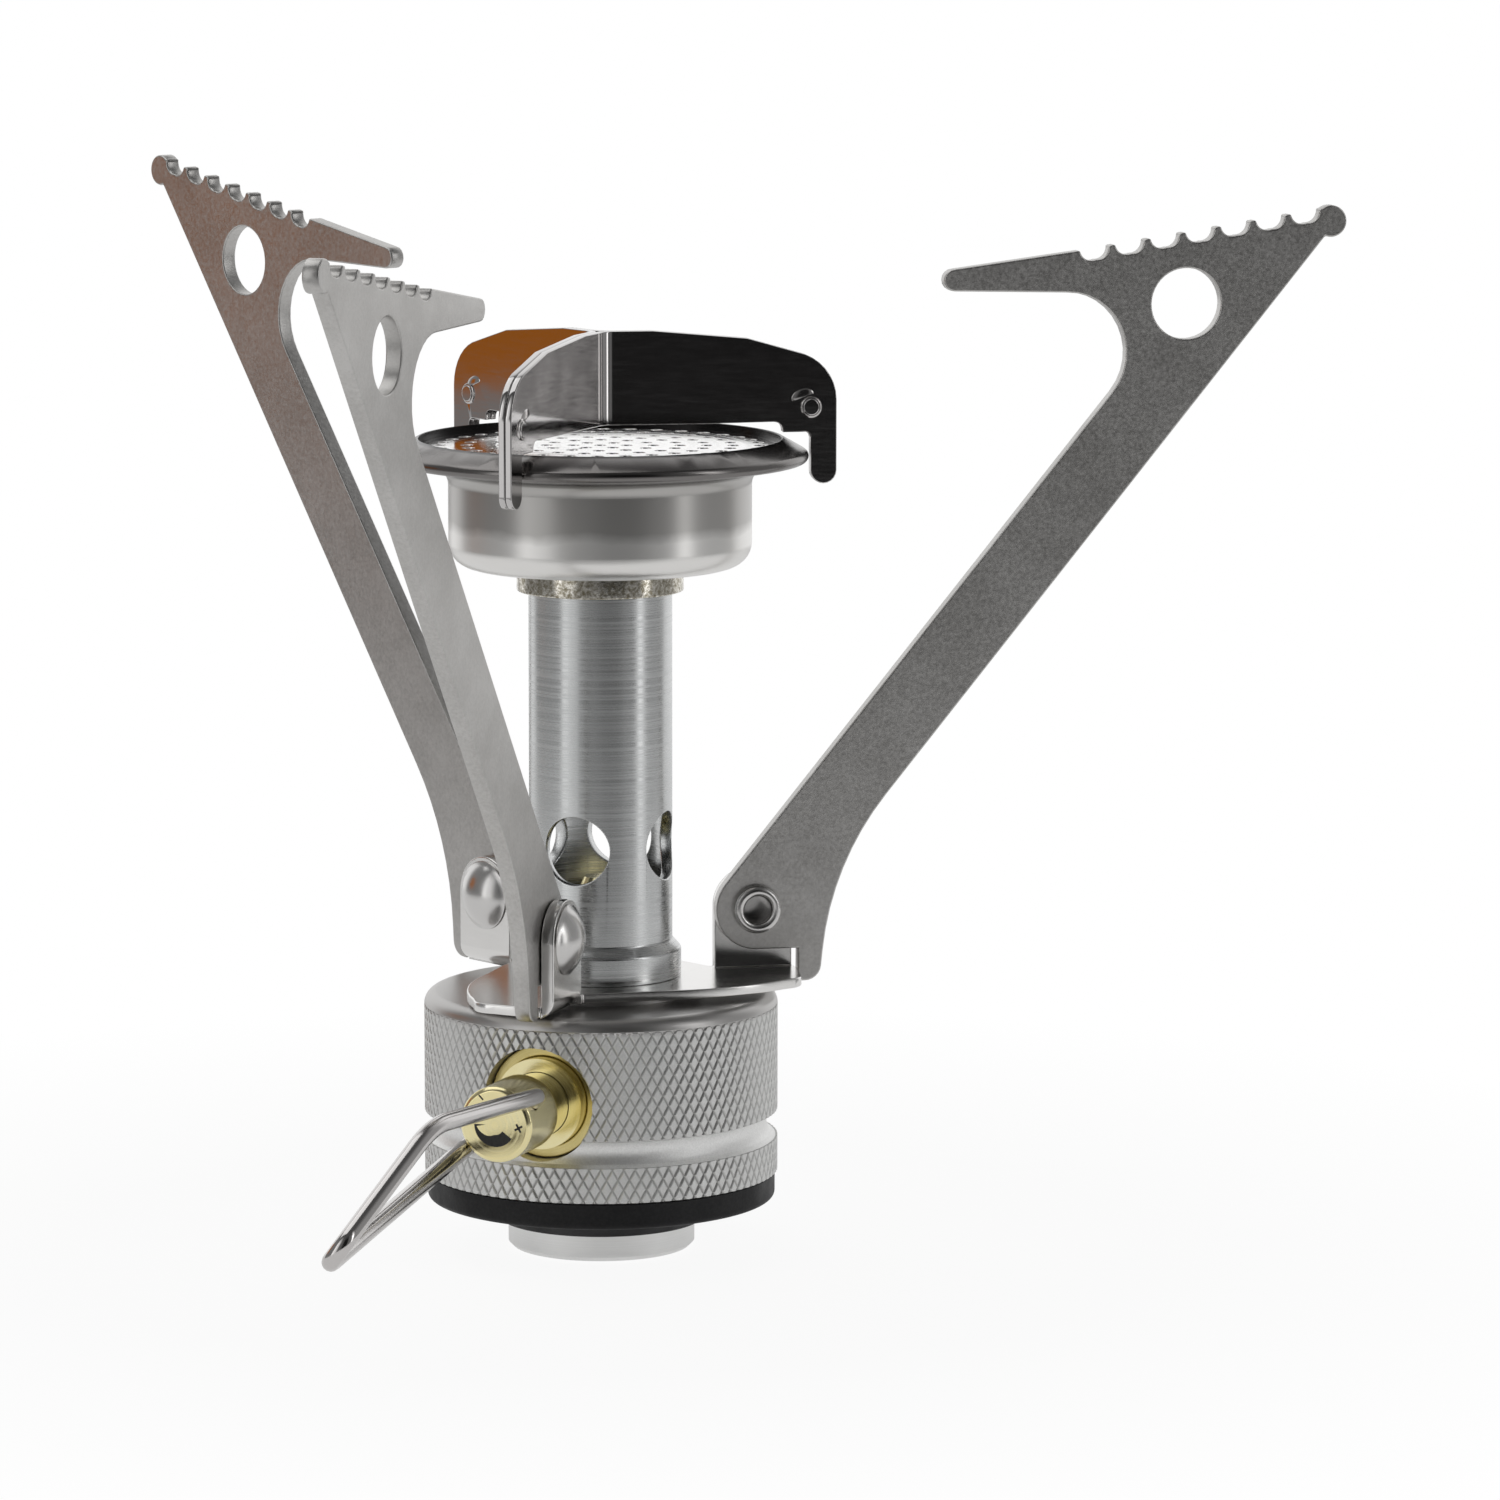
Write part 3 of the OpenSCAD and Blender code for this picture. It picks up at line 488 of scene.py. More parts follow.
def turned_metal(name, dark, light, roughness, pitch, depth, location=(0, 0, 0),
                 rotation=(0, 0, 0)):
    """Metal with the tool's rings about an axis."""
    material, tree, shader = metal(name, light, roughness)
    place = object_place(tree, location, rotation)
    lines = turning_lines(tree, place, pitch)
    cloud = speckle(tree, place, size=4 * MM)
    vary_colour(tree, shader, shared(tree, lines, 0.5, cloud), dark, light)
    vary_gloss(tree, shader, lines, roughness - 0.04, roughness + 0.08)
    raise_surface(tree, shader, lines, depth)
    return material


def spun_cup_steel():
    """Satin steel with painted light: a dark reflection on the rim and upper wall, a bright one at
    the bottom, and painted shade inside.
    """
    material, tree, shader = metal("satin spun steel", (0.6, 0.59, 0.57), 0.3)
    place = object_place(tree)
    cloud = speckle(tree, place, size=5 * MM)
    height = height_along(tree, place)
    wavy = math_node(tree, "ADD", height, math_node(tree, "MULTIPLY", cloud, 1.2 * MM))
    rim_top = box_mm("burner_cup")[1][2]
    plate_r = box_mm("burner_plate")[1][0]
    painted_table_reflection = below(tree, wavy, *[(rim_top - drop) * MM for drop in TABLE_REFLECTION_DROPS])
    rolled = above(tree, height, *[(rim_top - drop) * MM for drop in ROLLED])
    inside = below(tree, axis_distance(tree, place), *[(plate_r + out) * MM for out in INSIDE])
    # Painted reflection: the upper wall is painted darker and the lower wall bright, where it
    # would mirror the white table.
    wall = blended(tree, painted_table_reflection, (0.48, 0.47, 0.455), (0.84, 0.83, 0.81))
    # Painted dark reflection on the rolled rim.
    skin = blended(tree, rolled, wall, (0.21, 0.20, 0.195))
    # Painted shade inside the cup, under the rim.
    painted_shade_inside = math_node(tree, "MULTIPLY", rolled, inside)
    colour = blended(tree, painted_shade_inside, skin, (0.02, 0.019, 0.019))
    tree.links.new(colour, shader.inputs["Base Color"])
    tree.links.new(scaled(tree, rolled, 0, 1, 0.30, 0.22), shader.inputs["Roughness"])
    raise_surface(tree, shader, turning_lines(tree, place, 0.3 * MM), depth=0.0006 * MM)
    return material


tube_finish = turned_metal("bright turned tube", (0.61, 0.62, 0.62), (0.67, 0.68, 0.68),
                           roughness=0.25, pitch=0.16 * MM, depth=0.0005 * MM)
cup_finish = spun_cup_steel()
burner_finish = turned_metal("burner steel", (0.88, 0.87, 0.86), (0.95, 0.94, 0.93),
                             roughness=0.11, pitch=0.5 * MM, depth=0.001 * MM)
collar_finish = turned_metal("turned aluminium", (0.80, 0.80, 0.79), (0.88, 0.88, 0.87),
                             roughness=0.34, pitch=0.15 * MM, depth=0.003 * MM)
brass_finish = turned_metal("turned brass", (0.88, 0.78, 0.42), (0.96, 0.88, 0.54),
                            roughness=0.17, pitch=0.2 * MM, depth=0.002 * MM,
                            location=spindle_place, rotation=spindle_tilt)
sleeve_finish = turned_metal("dull brass", (0.56, 0.46, 0.17), (0.76, 0.65, 0.32),
                             roughness=0.24, pitch=0.2 * MM, depth=0.003 * MM,
                             location=spindle_place, rotation=spindle_tilt)
print("Turned finishes ready; the spindle points", [round(x, 3) for x in spindle_axis])

# %% [markdown]
# ## Sintered, blasted and moulded surfaces
#
# The ring under the cup is pressed from bronze grains. The housing was blasted with glass beads,
# and the flanks of its knurl are painted darker than the diamonds' tops, as painted shade in the
# grooves: a mask of the distance from the axis finds them, so nothing has to be wrapped round it.
# The rubber is almost black, with a fine grain.

# %% Ground finishes
# Distances in mm inside the housing's largest radius: the tops of the diamonds, and what lies
# deeper than the knurl; the flanks between them get painted shade. Then the heights in mm between
# which the bare shoulder begins.
TOPS, DEEPER, BARE_SHOULDER = (0.20, 0.04), (0.32, 0.26), (22.0, 22.6)


def speckled_bronze():
    """Sintered bronze: bright grains in a brown ground."""
    material, tree, shader = metal("sintered bronze", (0.5, 0.45, 0.38), 0.3)
    place = object_place(tree)
    grains = speckle(tree, place, size=0.35 * MM, detail=4.0, roughness=0.75)
    vary_colour(tree, shader, grains, (0.26, 0.23, 0.16), (0.94, 0.91, 0.84), (0.40, 0.64))
    vary_gloss(tree, shader, grains, 0.22, 0.08)
    raise_surface(tree, shader, grains, depth=0.010 * MM)
    return material


def blasted_aluminium():
    """Bead-blasted aluminium with painted shade on the knurl's flanks, and a darker, bare,
    smoother shoulder.
    """
    material, tree, shader = metal("blasted aluminium", (0.72, 0.72, 0.71), 0.48)
    place = object_place(tree)
    grains = speckle(tree, place, size=0.16 * MM, detail=2.0)
    skin = blended(tree, above(tree, grains, *NOISE_MIDDLE), (0.86, 0.86, 0.85),
                   (0.96, 0.96, 0.95))
    radius = axis_distance(tree, place)
    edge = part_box("valve_housing")[1][0]
    tops = above(tree, radius, *[edge - depth * MM for depth in TOPS])
    deeper = below(tree, radius, *[edge - depth * MM for depth in DEEPER])
    # Painted shade: the knurl's flanks, between the tops and the deeper body, are painted darker.
    skin = blended(tree, math_node(tree, "MAXIMUM", tops, deeper), (0.50, 0.50, 0.49), skin)
    shoulder = above(tree, height_along(tree, place), *[height * MM for height in BARE_SHOULDER])
    skin = blended(tree, shoulder, skin, (0.52, 0.51, 0.50))
    tree.links.new(skin, shader.inputs["Base Color"])
    tree.links.new(scaled(tree, shoulder, 0, 1, 0.50, 0.36), shader.inputs["Roughness"])
    blasted = math_node(tree, "SUBTRACT", 1.0, shoulder)
    rough = math_node(tree, "MULTIPLY", grains, blasted)
    raise_surface(tree, shader, rough, depth=0.015 * MM)
    return material


def moulded_rubber():
    """Black rubber with a fine moulded grain."""
    material, tree, shader = metal("moulded rubber", (0.008, 0.008, 0.009), 0.55, metallic=0.0)
    place = object_place(tree)
    grains = speckle(tree, place, size=0.3 * MM)
    vary_colour(tree, shader, grains, (0.005, 0.005, 0.006), (0.012, 0.012, 0.013))
    shader.inputs["Specular IOR Level"].default_value = 0.3
    vary_gloss(tree, shader, speckle(tree, place, size=5 * MM), 0.42, 0.62)
    raise_surface(tree, shader, grains, depth=0.015 * MM)
    return material


bronze_finish = speckled_bronze()
housing_finish = blasted_aluminium()
rubber_finish = moulded_rubber()
print("Ground finishes:", bronze_finish.name, housing_finish.name, rubber_finish.name)

# %% [markdown]
# ## Turning a bmesh into a piece
#
# A finished piece sits at the origin with its place in its mesh. It is shaded smooth, with creases
# where the surface really breaks, and rides on the body that carries it.

# %% Piece helpers
MERGE = 0.0005 * MM    # points closer than this are one point


def finish_piece(bm, name, body, finish, crease):
    """Makes the piece, gives it its finish and lets it ride on a body."""
    mesh = bpy.data.meshes.new(name)
    bm.to_mesh(mesh)
    bm.free()
    for face in mesh.polygons:
        face.use_smooth = True
    mesh.set_sharp_from_angle(angle=math.radians(crease))
    mesh.materials.append(finish)
    piece = bpy.data.objects.new(name, mesh)
    bpy.context.scene.collection.objects.link(piece)
    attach(piece, body)
    print(name, "has", len(mesh.polygons), "faces")
    return piece


def softened(node, body, finish, width):
    """A copy of a CAD solid with its sharp edges broken, as tumbling or a file leaves them."""
    bm = bmesh.new()
    bm.from_mesh(frame["nodes"][node].data)
    bmesh.ops.remove_doubles(bm, verts=bm.verts, dist=MERGE)
    bmesh.ops.dissolve_limit(bm, angle_limit=math.radians(1), verts=bm.verts, edges=bm.edges)
    sharp = [edge for edge in bm.edges if len(edge.link_faces) == 2
             and edge.calc_face_angle() > math.radians(30)]
    bmesh.ops.bevel(bm, geom=sharp, offset=width, offset_type="OFFSET", affect="EDGES",
                    segments=2, profile=0.5, material=-1)
    piece = finish_piece(bm, node + "_dressed", body, finish, crease=50)
    flatten = piece.modifiers.new("flat faces shade flat", "WEIGHTED_NORMAL")
    flatten.keep_sharp = True
    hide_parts(node)


def outline(bm, points):
    """A closed outline of (radius, height) points in mm; returns its points and edges."""
    verts = [bm.verts.new((radius * MM, 0, height * MM)) for radius, height in points]
    return verts + [bm.edges.new(pair) for pair in zip(verts, verts[1:] + verts[:1])]


def spun(profile, steps=96):
    """A closed outline of (radius, height) points in mm, turned about Z."""
    bm = bmesh.new()
    bmesh.ops.spin(bm, geom=outline(bm, profile), cent=(0, 0, 0), axis=(0, 0, 1),
                   angle=2 * math.pi, steps=steps, use_merge=True)
    bmesh.ops.remove_doubles(bm, verts=bm.verts, dist=MERGE)
    bmesh.ops.recalc_face_normals(bm, faces=bm.faces)
    return bm


def corner(middle, radius, start, end, steps=6):
    """Points on an arc of a profile, between two angles in degrees."""
    turns = [math.radians(start + (end - start) * i / steps) for i in range(steps + 1)]
    return [(middle[0] + radius * math.cos(a), middle[1] + radius * math.sin(a)) for a in turns]


def join(parts):
    """Puts several shapes into one bmesh."""
    whole = bmesh.new()
    for part in parts:
        mesh = bpy.data.meshes.new("part")
        part.to_mesh(mesh)
        part.free()
        whole.from_mesh(mesh)
        bpy.data.meshes.remove(mesh)
    return whole


def laid_along(columns, place):
    """A matrix that turns X, Y and Z to three directions and moves the origin to a place."""
    return Matrix.Translation(place) @ Matrix(columns).transposed().to_4x4()


print("Piece helpers ready")

# %% [markdown]
# ## Pot supports, plate and wind clip
#
# The CAD solids have the right outlines but razor edges. A copy of each is merged, its flat faces
# are made whole again, and its sharp edges are bevelled by a tenth or two of a millimetre. Those
# thin bright lines are what tells the eye that the sheet has a thickness.

# %% Pot supports
for number in (1, 2, 3):
    softened(f"pot_support_{number}", f"pot_support_arm_{number}", arm_finish,
             width=0.16 * MM)

# %% Support plate
softened("support_plate", "stove", plate_finish, width=0.14 * MM)

# %% Wind clip
for number in (1, 2, 3):
    softened(f"clip_sheet_{number}", "wind_clip", clip_finish, width=0.09 * MM)
    softened(f"clip_button_{number}", "wind_clip", clip_finish, width=0.12 * MM)

# %% [markdown]
# ## The clinches
#
# Where two sheets of the clip meet they are clinched: a punch leaves a ring round the button, and
# the die leaves a half-moon beside it. A bump in the material would vanish against the light, so
# both are modelled: the ring is a spun arc, and the half-moon is a flattened ball, cut in two.

# %% Clinch marks
# Sizes in mm, from the middle of the button and the middle of the two sheets.
RING_R, RING_HALF_WIDTH, RING_FOOT = 0.78, 0.22, 0.55
MOON_R, MOON_PLACE, MOON_TURN = 1.15, (-0.8, 1.0, 0.50), 20
MOON_FLATTENED, MOON_CUT = (1, 0.62, 0.24), -0.1


def half_moon(side):
    """A flattened ball without its lower half, turned by some degrees."""
    moon = bmesh.new()
    bmesh.ops.create_uvsphere(moon, u_segments=32, v_segments=16, radius=MOON_R * MM)
    bmesh.ops.scale(moon, verts=moon.verts, vec=MOON_FLATTENED)
    bmesh.ops.bisect_plane(moon, geom=moon.verts[:] + moon.edges[:] + moon.faces[:],
                           plane_co=(0, MOON_CUT * MM, 0), plane_no=(0, -1, 0), clear_outer=True)
    bmesh.ops.holes_fill(moon, edges=[edge for edge in moon.edges if edge.is_boundary])
    turn = Matrix.Rotation(math.radians(MOON_TURN * side), 3, "Z")
    bmesh.ops.rotate(moon, verts=moon.verts, matrix=turn)
    bmesh.ops.translate(moon, verts=moon.verts, vec=[value * MM for value in MOON_PLACE])
    return moon


def clinch(number):
    """A ring and a half-moon on each face of a wing."""
    low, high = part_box(f"clip_button_{number}")
    middle = (Vector(low) + Vector(high)) / 2
    outwards = Vector((middle.x, middle.y, 0)).normalized()
    marks = []
    for side in (1, -1):
        arc = corner((RING_R, RING_FOOT), RING_HALF_WIDTH, 170, 10)
        ring = spun([(0.55, RING_FOOT)] + arc + [(1.0, RING_FOOT)], steps=40)
        mark = join([ring, half_moon(side)])
        if side < 0:
            bmesh.ops.scale(mark, verts=mark.verts, vec=(1, 1, -1))
            bmesh.ops.reverse_faces(mark, faces=mark.faces)
        turn = laid_along((outwards, UP, outwards.cross(UP)), middle)
        bmesh.ops.transform(mark, matrix=turn, verts=mark.verts)
        marks.append(mark)
    finish_piece(join(marks), f"clinch_{number}", "wind_clip", wire_finish,
                 crease=40)


for number in (1, 2, 3):
    clinch(number)

# %% [markdown]
# ## Rivets
#
# Each rivet has a domed head on the ear's side, and on the other a tubular tail that is rolled
# outwards. Both are turned shapes, so one outline is spun about Z and the result is laid along the
# rivet's own axis, which the fold joint of its pot support gives.

# %% Rivets
# Sizes in mm; the heights are counted along the rivet from its pot support's fold axis.
HEAD_FOOT, HEAD_R, HEAD_ROUND_R, DOME = 2.05, 3.2, 3.05, 1.5
SHANK_R, BORE_R, BORE_END = 1.6, 1.2, 1.5
TAIL_FACE, LIP_MIDDLE_R, LIP_ROUND = -0.80, 1.72, 0.48


def rivet(number):
    """A domed head, a shank and a rolled tubular tail."""
    head_top = HEAD_FOOT + DOME
    sphere = (HEAD_R ** 2 + DOME ** 2) / (2 * DOME)
    reach = math.degrees(math.asin(HEAD_ROUND_R / sphere))
    dome = corner((0, head_top - sphere), sphere, 84, 90 - reach, steps=8)
    head_edge = [(3.17, HEAD_FOOT + 0.12), (3.1, HEAD_FOOT)]
    shank = [(SHANK_R, HEAD_FOOT), (SHANK_R, TAIL_FACE)]
    lip = corner((LIP_MIDDLE_R, TAIL_FACE - 0.4), LIP_ROUND, 60, -200, steps=12)
    bore = [(BORE_R + 0.02, TAIL_FACE + 0.3), (BORE_R, BORE_END), (0, BORE_END)]
    bm = spun([(0, head_top)] + dome + head_edge + shank + lip + bore, steps=64)
    joint = joint_named(f"pot_support_{number}_fold")
    outwards = Vector((joint["pos_m"][0], joint["pos_m"][1], 0)).normalized()
    turn = laid_along((outwards, -UP, UP.cross(outwards)), joint["pos_m"])
    bmesh.ops.transform(bm, matrix=turn, verts=bm.verts)
    piece = finish_piece(bm, f"rivet_{number}", "stove", rivet_finish, crease=40)
    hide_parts(f"pivot_rivet_{number}")


for number in (1, 2, 3):
    rivet(number)

# %% [markdown]
# ## The knurled housing
#
# A diamond knurl is two sets of slanting grooves. Where two grooves cross, the surface is lowest,
# and halfway between it is highest. So a column of points is spun in half steps, and every second
# point is raised, like the dark squares of a chessboard. The grooves then run along the diagonals
# that join the low points, and bevelling each high point gives the diamond its flat top.

# %% A knurled band
housing_low, housing_high = box_mm("valve_housing")
HOUSING_R = housing_high[0]
KNURLS = 97                        # diamonds round the housing
ROW = 0.92                         # half a diamond's height, in mm
FLOOR_R, TOP_R = HOUSING_R - 0.22, HOUSING_R + 0.10
BAND_WALL = 1.3
FLAT_TOP = 64                      # percent of each slope that the bevel takes


def knurled_band(low, high):
    """A closed ring whose outside is knurled between two heights in mm."""
    bm = bmesh.new()
    rows = math.ceil((high - low) / ROW) + 3
    start = low - ROW * 0.7
    column = [bm.verts.new((FLOOR_R * MM, 0, (start + ROW * row) * MM)) for row in range(rows)]
    chain = [bm.edges.new(pair) for pair in zip(column, column[1:])]
    bmesh.ops.spin(bm, geom=column + chain, cent=(0, 0, 0), axis=(0, 0, 1), angle=2 * math.pi,
                   steps=2 * KNURLS, use_merge=True)
    bmesh.ops.remove_doubles(bm, verts=bm.verts, dist=MERGE)
    bm.verts.ensure_lookup_table()
    tops, floors = [], []
    for vert in bm.verts:
        step = round(math.atan2(vert.co.y, vert.co.x) / (math.pi / KNURLS))
        row = round((vert.co.z / MM - start) / ROW)
        (tops if (step + row) % 2 else floors).append(vert)
    bmesh.ops.connect_verts(bm, verts=floors)
    rise = TOP_R / FLOOR_R
    bmesh.ops.scale(bm, verts=tops, vec=(rise, rise, 1))
    inner = [vert for vert in tops if not vert.is_boundary]
    bmesh.ops.bevel(bm, geom=inner, offset=FLAT_TOP, offset_type="PERCENT", affect="VERTICES",
                    segments=1, profile=0.5, material=-1)
    for height, side in ((low, -1), (high, 1)):
        bmesh.ops.bisect_plane(bm, geom=bm.verts[:] + bm.edges[:] + bm.faces[:],
                               dist=0.0001 * MM, plane_co=(0, 0, height * MM),
                               plane_no=(0, 0, side), clear_outer=True)
    rims = [edge for edge in bm.edges if edge.is_boundary]
    made = bmesh.ops.extrude_edge_only(bm, edges=rims)["geom"]
    inward = [item for item in made if isinstance(item, bmesh.types.BMVert)]
    shrink = (HOUSING_R - BAND_WALL) / HOUSING_R
    bmesh.ops.scale(bm, verts=inward, vec=(shrink, shrink, 1))
    bmesh.ops.bridge_loops(bm, edges=[edge for edge in bm.edges if edge.is_boundary])
    bmesh.ops.recalc_face_normals(bm, faces=bm.faces)
    return bm


def evaluated_mesh(thing):
    """The mesh of an object with its modifiers or its curve bevel worked out."""
    bpy.context.view_layer.update()
    graph = bpy.context.evaluated_depsgraph_get()
    return bpy.data.meshes.new_from_object(thing.evaluated_get(graph))


def drilled(bm, cutter):
    """Cuts one closed shape out of another with an exact Boolean, and gives back a bmesh."""
    pair = []
    for name, shape in (("workpiece", bm), ("cutter", cutter)):
        mesh = bpy.data.meshes.new(name)
        shape.to_mesh(mesh)
        shape.free()
        pair.append(bpy.data.objects.new(name, mesh))
        bpy.context.scene.collection.objects.link(pair[-1])
    cut = pair[0].modifiers.new("cut", "BOOLEAN")
    cut.operation = "DIFFERENCE"
    cut.solver = "EXACT"
    cut.object = pair[1]
    result = evaluated_mesh(pair[0])
    for thing in pair:
        bpy.data.objects.remove(thing)
    bm = bmesh.new()
    bm.from_mesh(result)
    return bm


print("The knurl has", KNURLS, "diamonds round a radius of", round(HOUSING_R, 2), "mm")

# %% [markdown]
# ## Putting the housing together
#
# The housing is one turned body and two knurled bands that sit on it like sleeves. Knurling the
# whole body in one mesh would force the small faces of the knurl into the groove and the shoulder
# too. A Boolean then drills the hole for the valve through each of the three.

# %% Housing
# Heights in mm above the housing's foot, and radii in mm.
LOWER_BAND, UPPER_BAND = (0.2, 3.35), (5.85, 15.6)
GROOVE_HEIGHT, GROOVE_OUT, GROOVE_ROUND = 4.6, 0.55, 1.66
SHOULDER, SHOULDER_ROUND, BOSS_R = 16.8, 1.2, 9.0
UNDERCUT = 0.34                    # the body is this much smaller under the knurl
POCKET_R, POCKET_DEPTH, BORE_THROUGH_R = 8.55, 2.8, 6.55


def housing_core():
    """The smooth body under the knurling, with its groove, round shoulder and boss on top."""
    r, low, high = HOUSING_R, housing_low[2], housing_high[2]
    plain, shoulder, pocket = r - UNDERCUT, low + SHOULDER, low + POCKET_DEPTH
    middle = (r + GROOVE_OUT, low + GROOVE_HEIGHT)
    groove = corner(middle, GROOVE_ROUND, 217, 143, steps=12)
    profile = [(POCKET_R, low), (plain - 0.3, low), (plain, low + 0.25)]
    profile += [(plain, low + LOWER_BAND[1])] + groove + [(plain, low + UPPER_BAND[0])]
    profile += [(plain, shoulder - 1.5)]
    profile += corner((r - 1.3, shoulder - SHOULDER_ROUND), SHOULDER_ROUND, 5, 90, steps=8)
    profile += [(BOSS_R, shoulder), (BOSS_R, high), (BORE_THROUGH_R, high)]
    profile += [(BORE_THROUGH_R, pocket), (POCKET_R, pocket)]
    return spun(profile, steps=136)


def valve_drill(radius, start, end):
    """A cylinder along the spindle between two distances from the stove's axis, in mm."""
    bm = bmesh.new()
    bmesh.ops.create_cone(bm, cap_ends=True, segments=96, radius1=radius * MM,
                          radius2=radius * MM, depth=(end - start) * MM)
    middle = Vector((0, 0, spindle_place[2])) + spindle_axis * (start + end) / 2 * MM
    turn = UP.rotation_difference(spindle_axis).to_matrix().to_4x4()
    bmesh.ops.transform(bm, matrix=Matrix.Translation(middle) @ turn, verts=bm.verts)
    return bm


foot = housing_low[2]
shells = [housing_core()]
for band in (LOWER_BAND, UPPER_BAND):
    shells.append(knurled_band(foot + band[0], foot + band[1]))
shells = [drilled(shell, valve_drill(radius=5.2, start=4, end=20)) for shell in shells]
housing = finish_piece(join(shells), "knurled_housing", "stove",
                       housing_finish, crease=22)
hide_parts("valve_housing")

# %% [markdown]
# ## Collar and pad
#
# The collar screws onto the gas canister, so its bore gets a real thread. A thread is a small
# profile that is spun while it climbs: the spin operator's dvec moves each step a little way up
# the axis. The ridge dips into the wall, which closes it without a Boolean.

# %% Threaded collar
PITCH, TURNS, STEPS = 0.907, 9, 48           # mm, turns, and steps in one turn
THREAD_START = 0.95                          # mm above the collar's foot
THREAD_ROOT_R = 5.56
MOUTH_R, MOUTH_DEPTH, RIM_BREAK = 6.05, 0.5, 0.4
TOOTH = [(5.62, -0.42), (5.10, -0.08), (5.10, 0.08), (5.62, 0.42)]


def threaded_collar():
    """The collar with its bore at the thread's root, and a climbing ridge inside it."""
    (_, _, low), (outer, _, high) = box_mm("canister_collar")
    wall = spun([(outer - RIM_BREAK, low), (outer, low + RIM_BREAK), (outer, high),
                 (THREAD_ROOT_R, high), (THREAD_ROOT_R, low + MOUTH_DEPTH), (MOUTH_R, low)])
    ridge = bmesh.new()
    tooth = outline(ridge, [(radius, low + THREAD_START + height) for radius, height in TOOTH])
    bmesh.ops.spin(ridge, geom=tooth, cent=(0, 0, 0), axis=(0, 0, 1), angle=2 * math.pi * TURNS,
                   dvec=(0, 0, PITCH / STEPS * MM), steps=STEPS * TURNS)
    ends = [edge for edge in ridge.edges if edge.is_boundary]
    bmesh.ops.holes_fill(ridge, edges=ends, sides=4)
    bmesh.ops.recalc_face_normals(ridge, faces=ridge.faces)
    return join([wall, ridge])


collar = finish_piece(threaded_collar(), "threaded_collar", "stove",
                      collar_finish, crease=30)
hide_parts("canister_collar")

# %% [markdown]
# ## Parts that stay as they are
#
# The pad, the seals and the small brass parts inside already have the right shape. A CAD solid
# that stays only needs a better finish, and its mesh is left alone.

# %% Pad, seals and the small parts inside
def dress(node, finish):
    """Gives a CAD node that stays as it is its finish."""
    solid = frame["nodes"][node].data
    solid.materials.clear()
    solid.materials.append(finish)
    print(node, "is now", finish.name)


for node in ("base_pad", "canister_seal", "spindle_o_ring"):
    dress(node, rubber_finish)
dress("inlet_filter", bronze_finish)
for node in ("valve_body", "depressor_pin", "jet_nozzle", "spindle_gland"):
    dress(node, brass_finish)

# %% [markdown]
# ## Tube, ring and burner
#
# The tube was turned, the ring pressed, and the cup and its plate spun and punched. Their CAD
# solids have the right form, so each gets broken edges and the surface of its own making.

# %% Tube and ring
softened("mixing_tube", "stove", tube_finish, width=0.12 * MM)
softened("tube_ring", "stove", bronze_finish, width=0.12 * MM)

# %% Burner
softened("burner_cup", "stove", cup_finish, width=0.1 * MM)
softened("burner_plate", "stove", burner_finish, width=0.05 * MM)

# %% [markdown]
# ## The valve's brass
#
# The sleeve and the spindle are brass bars from the lathe, with broken edges. The spindle's face
# carries the usual signs: a minus, a plus, and a crescent that grows towards the open side. They
# are thin pieces of their own on the face, so they keep sharp edges at any distance.

# %% Sleeve and spindle
softened("valve_sleeve", "stove", sleeve_finish, width=0.15 * MM)
softened("control_spindle", "spindle", brass_finish, width=0.1 * MM)

# %% Signs on the spindle's face
# Sizes and places in mm on the face, seen from in front; turns in degrees.
FACE_DISTANCE = 25.3
SIGN_HEIGHT = 0.03
MINUS = dict(width=0.58, height=0.14, across=-1.3, up=2.4, turn=-45)
PLUS = [dict(width=0.84, height=0.19, across=2.25, up=-0.12, turn=30),
        dict(width=0.19, height=0.84, across=2.25, up=-0.12, turn=30)]
CRESCENT = dict(outer=1.95, start=180, sweep=145, thin=0.14, thick=1.08)
GROWTH = 1.7                       # the crescent is full at 1 / 1.7 of its sweep


def black_paint():
    """The filling of the stamped signs."""
    material, tree, shader = metal("black filling", (0.02, 0.019, 0.017), 0.5, metallic=0.0)
    grains = speckle(tree, object_place(tree), size=0.2 * MM)
    vary_colour(tree, shader, grains, (0.012, 0.011, 0.010), (0.035, 0.033, 0.03))
    vary_gloss(tree, shader, grains, 0.4, 0.6)
    return material


def bar(width, height, across, up, turn):
    """A thin bar on the face, turned and then moved."""
    bm = bmesh.new()
    bmesh.ops.create_cube(bm, size=1)
    bmesh.ops.scale(bm, verts=bm.verts, vec=(width * MM, height * MM, SIGN_HEIGHT * MM))
    turned = Matrix.Rotation(math.radians(turn), 3, "Z")
    bmesh.ops.rotate(bm, verts=bm.verts, matrix=turned)
    bmesh.ops.translate(bm, verts=bm.verts, vec=(across * MM, up * MM, 0))
    return bm


def crescent(outer, start, sweep, thin, thick):
    """A tapered arc: a square is spun, then each point is drawn inwards as it goes round."""
    bm = bmesh.new()
    turn = Matrix.Rotation(math.radians(start), 3, "Z")
    top = SIGN_HEIGHT / 2
    square = [(outer - thin, 0), (outer, 0), (outer, top), (outer - thin, top)]
    points = [bm.verts.new(turn @ Vector((x * MM, 0, z * MM))) for x, z in square]
    face = bm.faces.new(points)
    bmesh.ops.spin(bm, geom=[face] + face.edges[:] + points, cent=(0, 0, 0), axis=(0, 0, 1),
                   angle=math.radians(sweep), steps=24)
    for vert in bm.verts:
        gone = (math.degrees(math.atan2(vert.co.y, vert.co.x)) - start) % 360
        distance = math.hypot(vert.co.x, vert.co.y) / MM
        width = thin + (thick - thin) * min(GROWTH * gone / sweep, 1.0)
        wanted = outer - (outer - distance) * width / thin
        vert.co.x *= wanted / distance
        vert.co.y *= wanted / distance
    bmesh.ops.recalc_face_normals(bm, faces=bm.faces)
    return bm


